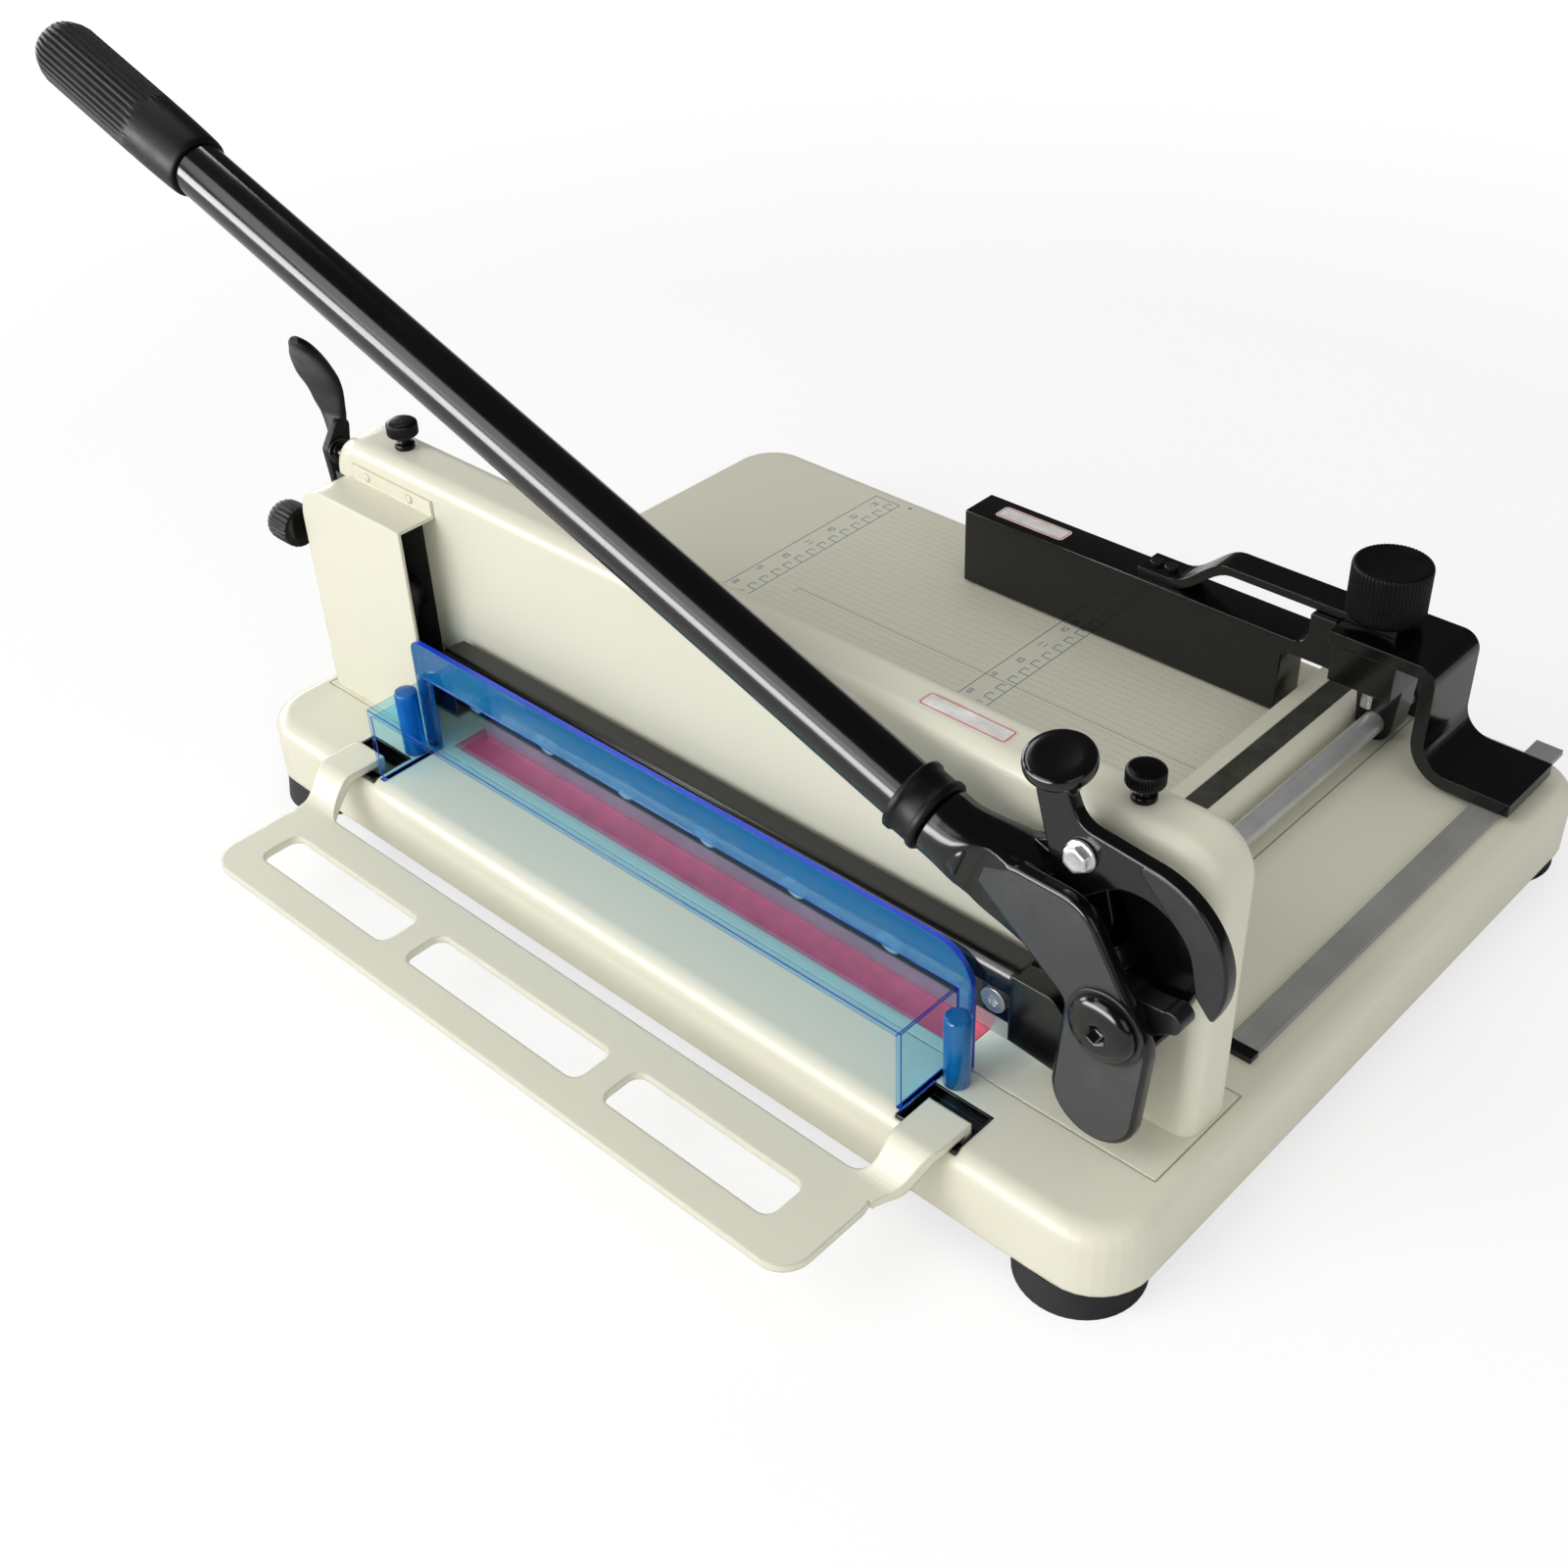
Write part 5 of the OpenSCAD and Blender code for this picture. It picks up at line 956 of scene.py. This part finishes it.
class CUTTER_OT_table_print(bpy.types.Operator):
    """Scales, guide lines and dashed rows printed on the table, and two blank labels"""

    bl_idname = "cutter.table_print"
    bl_label = "Table Print"

    def execute(self, context):
        self.scales()
        y, x = (v.ravel() for v in np.meshgrid(DASH_ROWS, DASH_STARTS))
        keep = (x + DASH_LENGTH < DASH_GAP[0]) | (x > DASH_GAP[1])
        y, x = y[keep], x[keep]
        dashes = ("table_dashes", "faint_ink", np.c_[x, y - 0.2], np.c_[x + DASH_LENGTH, y + 0.2])
        for name, finish, low, high in (dashes, *TABLE_LINES):
            lines = Shells()
            lines.bars(*self.flat(low, high))
            lines.piece(name, (finish,), "frame", "cream_enamel")
        strap = node_span("gauge_strap")[0][2]
        self.label("bridge_label", (117.8, -125.2), (162.8, -114.6), BRIDGE_TOP, "frame", "cream_enamel")
        self.label("fence_label", (-55.4, 149.8), (-9.4, 161.8), strap, "gauge", "black_enamel")
        return {"FINISHED"}

    def scales(self):
        """Two framed scales: marks and half marks along a line, and a number at every second mark."""
        half = sizes().scale_step / 2
        start, end = SCALE_SPAN
        y = np.arange(start + 5.0, end - 1.0, 2 * half)
        column = np.ones(len(y))
        scale = Shells()
        for left, right in SCALES:
            scale.bars(*self.flat([[left, start], [right - SCALE_LINE, start], [left, end - SCALE_LINE]],
                                  [[left + SCALE_LINE, end], [right, end], [right, end]]))
            for x0, x1, y0, y1 in ((7.0, 0.6, -0.3, 0.3), (7.3, 6.7, -0.3, half),
                                   (7.0, 4.0, half - 0.3, half + 0.3)):
                scale.bars(*self.flat(np.c_[column * (right - x0), y + y0],
                                      np.c_[column * (right - x1), y + y1]))
            for k, place in enumerate(y[1::2]):
                scale.bars(*self.flat(*self.number(k + 1, left + 3.0, place - 2.4)))
        scale.bars(*self.flat(*SCALE_MARK))
        scale.piece("table_scales", ("ink",), "frame", "cream_enamel")

    def flat(self, low, high):
        """Corners of thin bars on the table, from their corners in plan."""
        low, high = np.atleast_2d(low), np.atleast_2d(high)
        z = np.full((len(low), 1), DECK + 0.01)
        return np.hstack([low, z]), np.hstack([high, z + sizes().print_t])

    def number(self, value, x, y):
        """Bars of a number in seven strokes a figure: each figure 2 wide and 4 high, 3.2 from the next."""
        low, high = [], []
        for k, figure in enumerate(str(value)):
            for stroke in FIGURES[int(figure)]:
                x0, y0, x1, y1 = STROKES[stroke]
                low.append((x + 3.2 * k + 2 * x0 - 0.25, y + 2 * y0 - 0.25))
                high.append((x + 3.2 * k + 2 * x1 + 0.25, y + 2 * y1 + 0.25))
        return low, high

    def label(self, name, low, high, z, body, slot):
        """Blank label: three thin rounded plates, the middle one left showing as a fine border."""
        label = Shells()
        for index, inset, rise in LABEL_LAYERS:
            r = LABEL_ROUND - inset
            x0, y0, x1, y1 = low[0] + inset + r, low[1] + inset + r, high[0] - inset - r, high[1] - inset - r
            outline, _ = belt(((x0, y0, r), (x1, y0, r), (x1, y1, r), (x0, y1, r)), 0.3)
            label.grid(joined(outline[None, :, 0], outline[None, :, 1], [[z + 0.01], [z + rise]]), index)
        label.piece(name, ("label", "label_line"), body, slot)


# Stage, in metres: name, place, size and power of each lamp, and the point they aim at
LAMPS = (("key_softbox", (-0.7, -1.8, 1.7), (1.6, 1.2), 20.0),
         ("front_softbox", (-0.5, -2.3, 0.9), (2.0, 1.0), 19.0),
         ("fill_softbox", (2.2, -0.8, 1.1), (1.6, 1.2), 8.0))
LAMP_AIM = (0.0, 0.0, 0.1)

# Name, place, aim, size and even brightness of each reflector card, which only reflections see
CARDS = (("front_card", (-0.75, -2.05, 0.46), (0.0, -0.16, 0.25), (3.2, 0.7), 14.0),
         ("over_card", (-1.25, 0.1, 1.9), (0.0, -0.1, 0.15), (1.5, 0.16), 9.0),
         ("left_card", (-2.2, 0.1, 0.55), (0.0, -0.1, 0.2), (2.0, 0.7), 9.0))

# Half side of the floor; its share of even white near and far, and the distances between which it changes
FLOOR_REACH = 6.0
FLOOR_WHITE = (0.62, 1.0)
FLOOR_FADE = (0.7, 1.9)

# Place of the camera from the middle of the base, and its three axes
CAMERA_PLACE = (0.529419644, -0.61697402, 0.63652035)
CAMERA_AXES = ((0.72907438, 0.68347092, -0.03630509), (-0.39151006, 0.45996658, 0.79696337),
               (0.56140041, -0.56683177, 0.60293559))


class CUTTER_OT_stage(bpy.types.Operator):
    """Pale floor, soft studio light and the camera"""

    bl_idname = "cutter.stage"
    bl_label = "Stage"

    def execute(self, context):
        scene = context.scene
        scene.view_settings.view_transform = "Standard"
        self.floor()
        self.world()
        for name, place, size, power in LAMPS:
            self.lamp(name, place, LAMP_AIM, size, power)
        for name, place, aim, size, glow in CARDS:
            card = self.lamp(name, place, aim, size, np.pi * size[0] * size[1] * glow)
            card.visible_diffuse = False
            card.visible_transmission = False
        camera = bpy.data.cameras.new("photo_camera")
        camera.lens = 44.775
        camera.sensor_width = 36.0
        camera.clip_start = 0.01
        holder = bpy.data.objects.new("photo_camera", camera)
        axes = Matrix(CAMERA_AXES).transposed().to_4x4()
        holder.matrix_world = Matrix.Translation(Vector(CAMERA_PLACE) + Vector(ORIGIN)) @ axes
        scene.collection.objects.link(holder)
        scene.camera = holder
        return {"FINISHED"}

    def floor(self):
        """White floor: mostly its own even white for the camera, the rest lit so that it keeps the shadow;
        the even white takes over with the distance from the middle."""
        mesh = bpy.data.meshes.new("floor")
        corners = np.array([[-1, -1, 0], [1, -1, 0], [1, 1, 0], [-1, 1, 0]]) * FLOOR_REACH
        mesh.from_pydata(corners, [], [[0, 1, 2, 3]])
        f = Finish("pale_floor")
        tone = f.ramp(f.noise(3.0, 3.0), (0.3, (0.90, 0.90, 0.90)), (0.7, (0.92, 0.92, 0.92)))
        diffuse = f.add("ShaderNodeBsdfDiffuse", Color=tone)
        glow = f.add("ShaderNodeEmission", Color=(1.0, 1.0, 1.0), Strength=1.12)
        path = f.add("ShaderNodeLightPath").outputs
        seen = f.math("MAXIMUM", path["Is Camera Ray"], path["Is Transmission Ray"])
        away = f.add("ShaderNodeVectorMath", {"operation": "LENGTH"}, Vector=f.coords).outputs["Value"]
        share = f.math("MULTIPLY", seen, f.spread(away, *FLOOR_WHITE, *FLOOR_FADE))
        f.end("ShaderNodeOutputMaterial", f.blend(share, diffuse.outputs[0], glow.outputs[0]))
        mesh.materials.append(f.material)
        piece = bpy.data.objects.new("floor", mesh)
        bpy.context.scene.collection.objects.link(piece)

    def world(self):
        """White to the camera, dim in reflections, and an even soft light for everything else."""
        world = bpy.data.worlds.new("studio")
        w = Nodes(world)
        path = w.add("ShaderNodeLightPath").outputs
        seen = w.math("MAXIMUM", path["Is Camera Ray"], path["Is Transmission Ray"])
        even, dim, white = (
            w.add("ShaderNodeBackground", Color=(1.0, 1.0, 1.0), Strength=strength).outputs[0]
            for strength in (0.5, 0.07, 1.0))
        w.end("ShaderNodeOutputWorld", w.blend(seen, w.blend(path["Is Glossy Ray"], even, dim), white))
        bpy.context.scene.world = world

    def lamp(self, name, place, aim, size, power):
        light = bpy.data.lights.new(name, "AREA")
        light.shape = "RECTANGLE"
        light.size, light.size_y = size
        light.energy = power
        holder = bpy.data.objects.new(name, light)
        toward = Vector(aim) - Vector(place)
        holder.matrix_world = Matrix.Translation(place) @ toward.to_track_quat("-Z", "Y").to_matrix().to_4x4()
        bpy.context.scene.collection.objects.link(holder)
        return holder


PIECES = (CUTTER_OT_finishes, CUTTER_OT_lever_head, CUTTER_OT_catch, CUTTER_OT_release,
          CUTTER_OT_cover_screws, CUTTER_OT_grips, CUTTER_OT_knobs, CUTTER_OT_gauge, CUTTER_OT_guard,
          CUTTER_OT_table_print, CUTTER_OT_stage)


class CUTTER_PT_panel(bpy.types.Panel):
    """Lists the colours, the sizes and the pieces of the cutter"""

    bl_idname = "CUTTER_PT_panel"
    bl_label = "Paper Cutter"
    bl_space_type = "VIEW_3D"
    bl_region_type = "UI"
    bl_category = "Paper Cutter"

    def draw(self, context):
        column = self.layout.column()
        for group in (context.scene.cutter_colours, context.scene.cutter_sizes):
            for key in group.__annotations__:
                column.prop(group, key)
        for piece in PIECES:
            column.operator(piece.bl_idname)


CLASSES = (CutterColours, CutterSizes, *PIECES, CUTTER_PT_panel)


def register():
    for item in CLASSES:
        bpy.utils.register_class(item)
    bpy.types.Scene.cutter_colours = bpy.props.PointerProperty(type=CutterColours)
    bpy.types.Scene.cutter_sizes = bpy.props.PointerProperty(type=CutterSizes)


def unregister():
    del bpy.types.Scene.cutter_sizes
    del bpy.types.Scene.cutter_colours
    for item in reversed(CLASSES):
        bpy.utils.unregister_class(item)


def main():
    register()
    for piece in PIECES:
        group, name = piece.bl_idname.split(".")
        getattr(getattr(bpy.ops, group), name)()


if __name__ == "__main__":
    main()
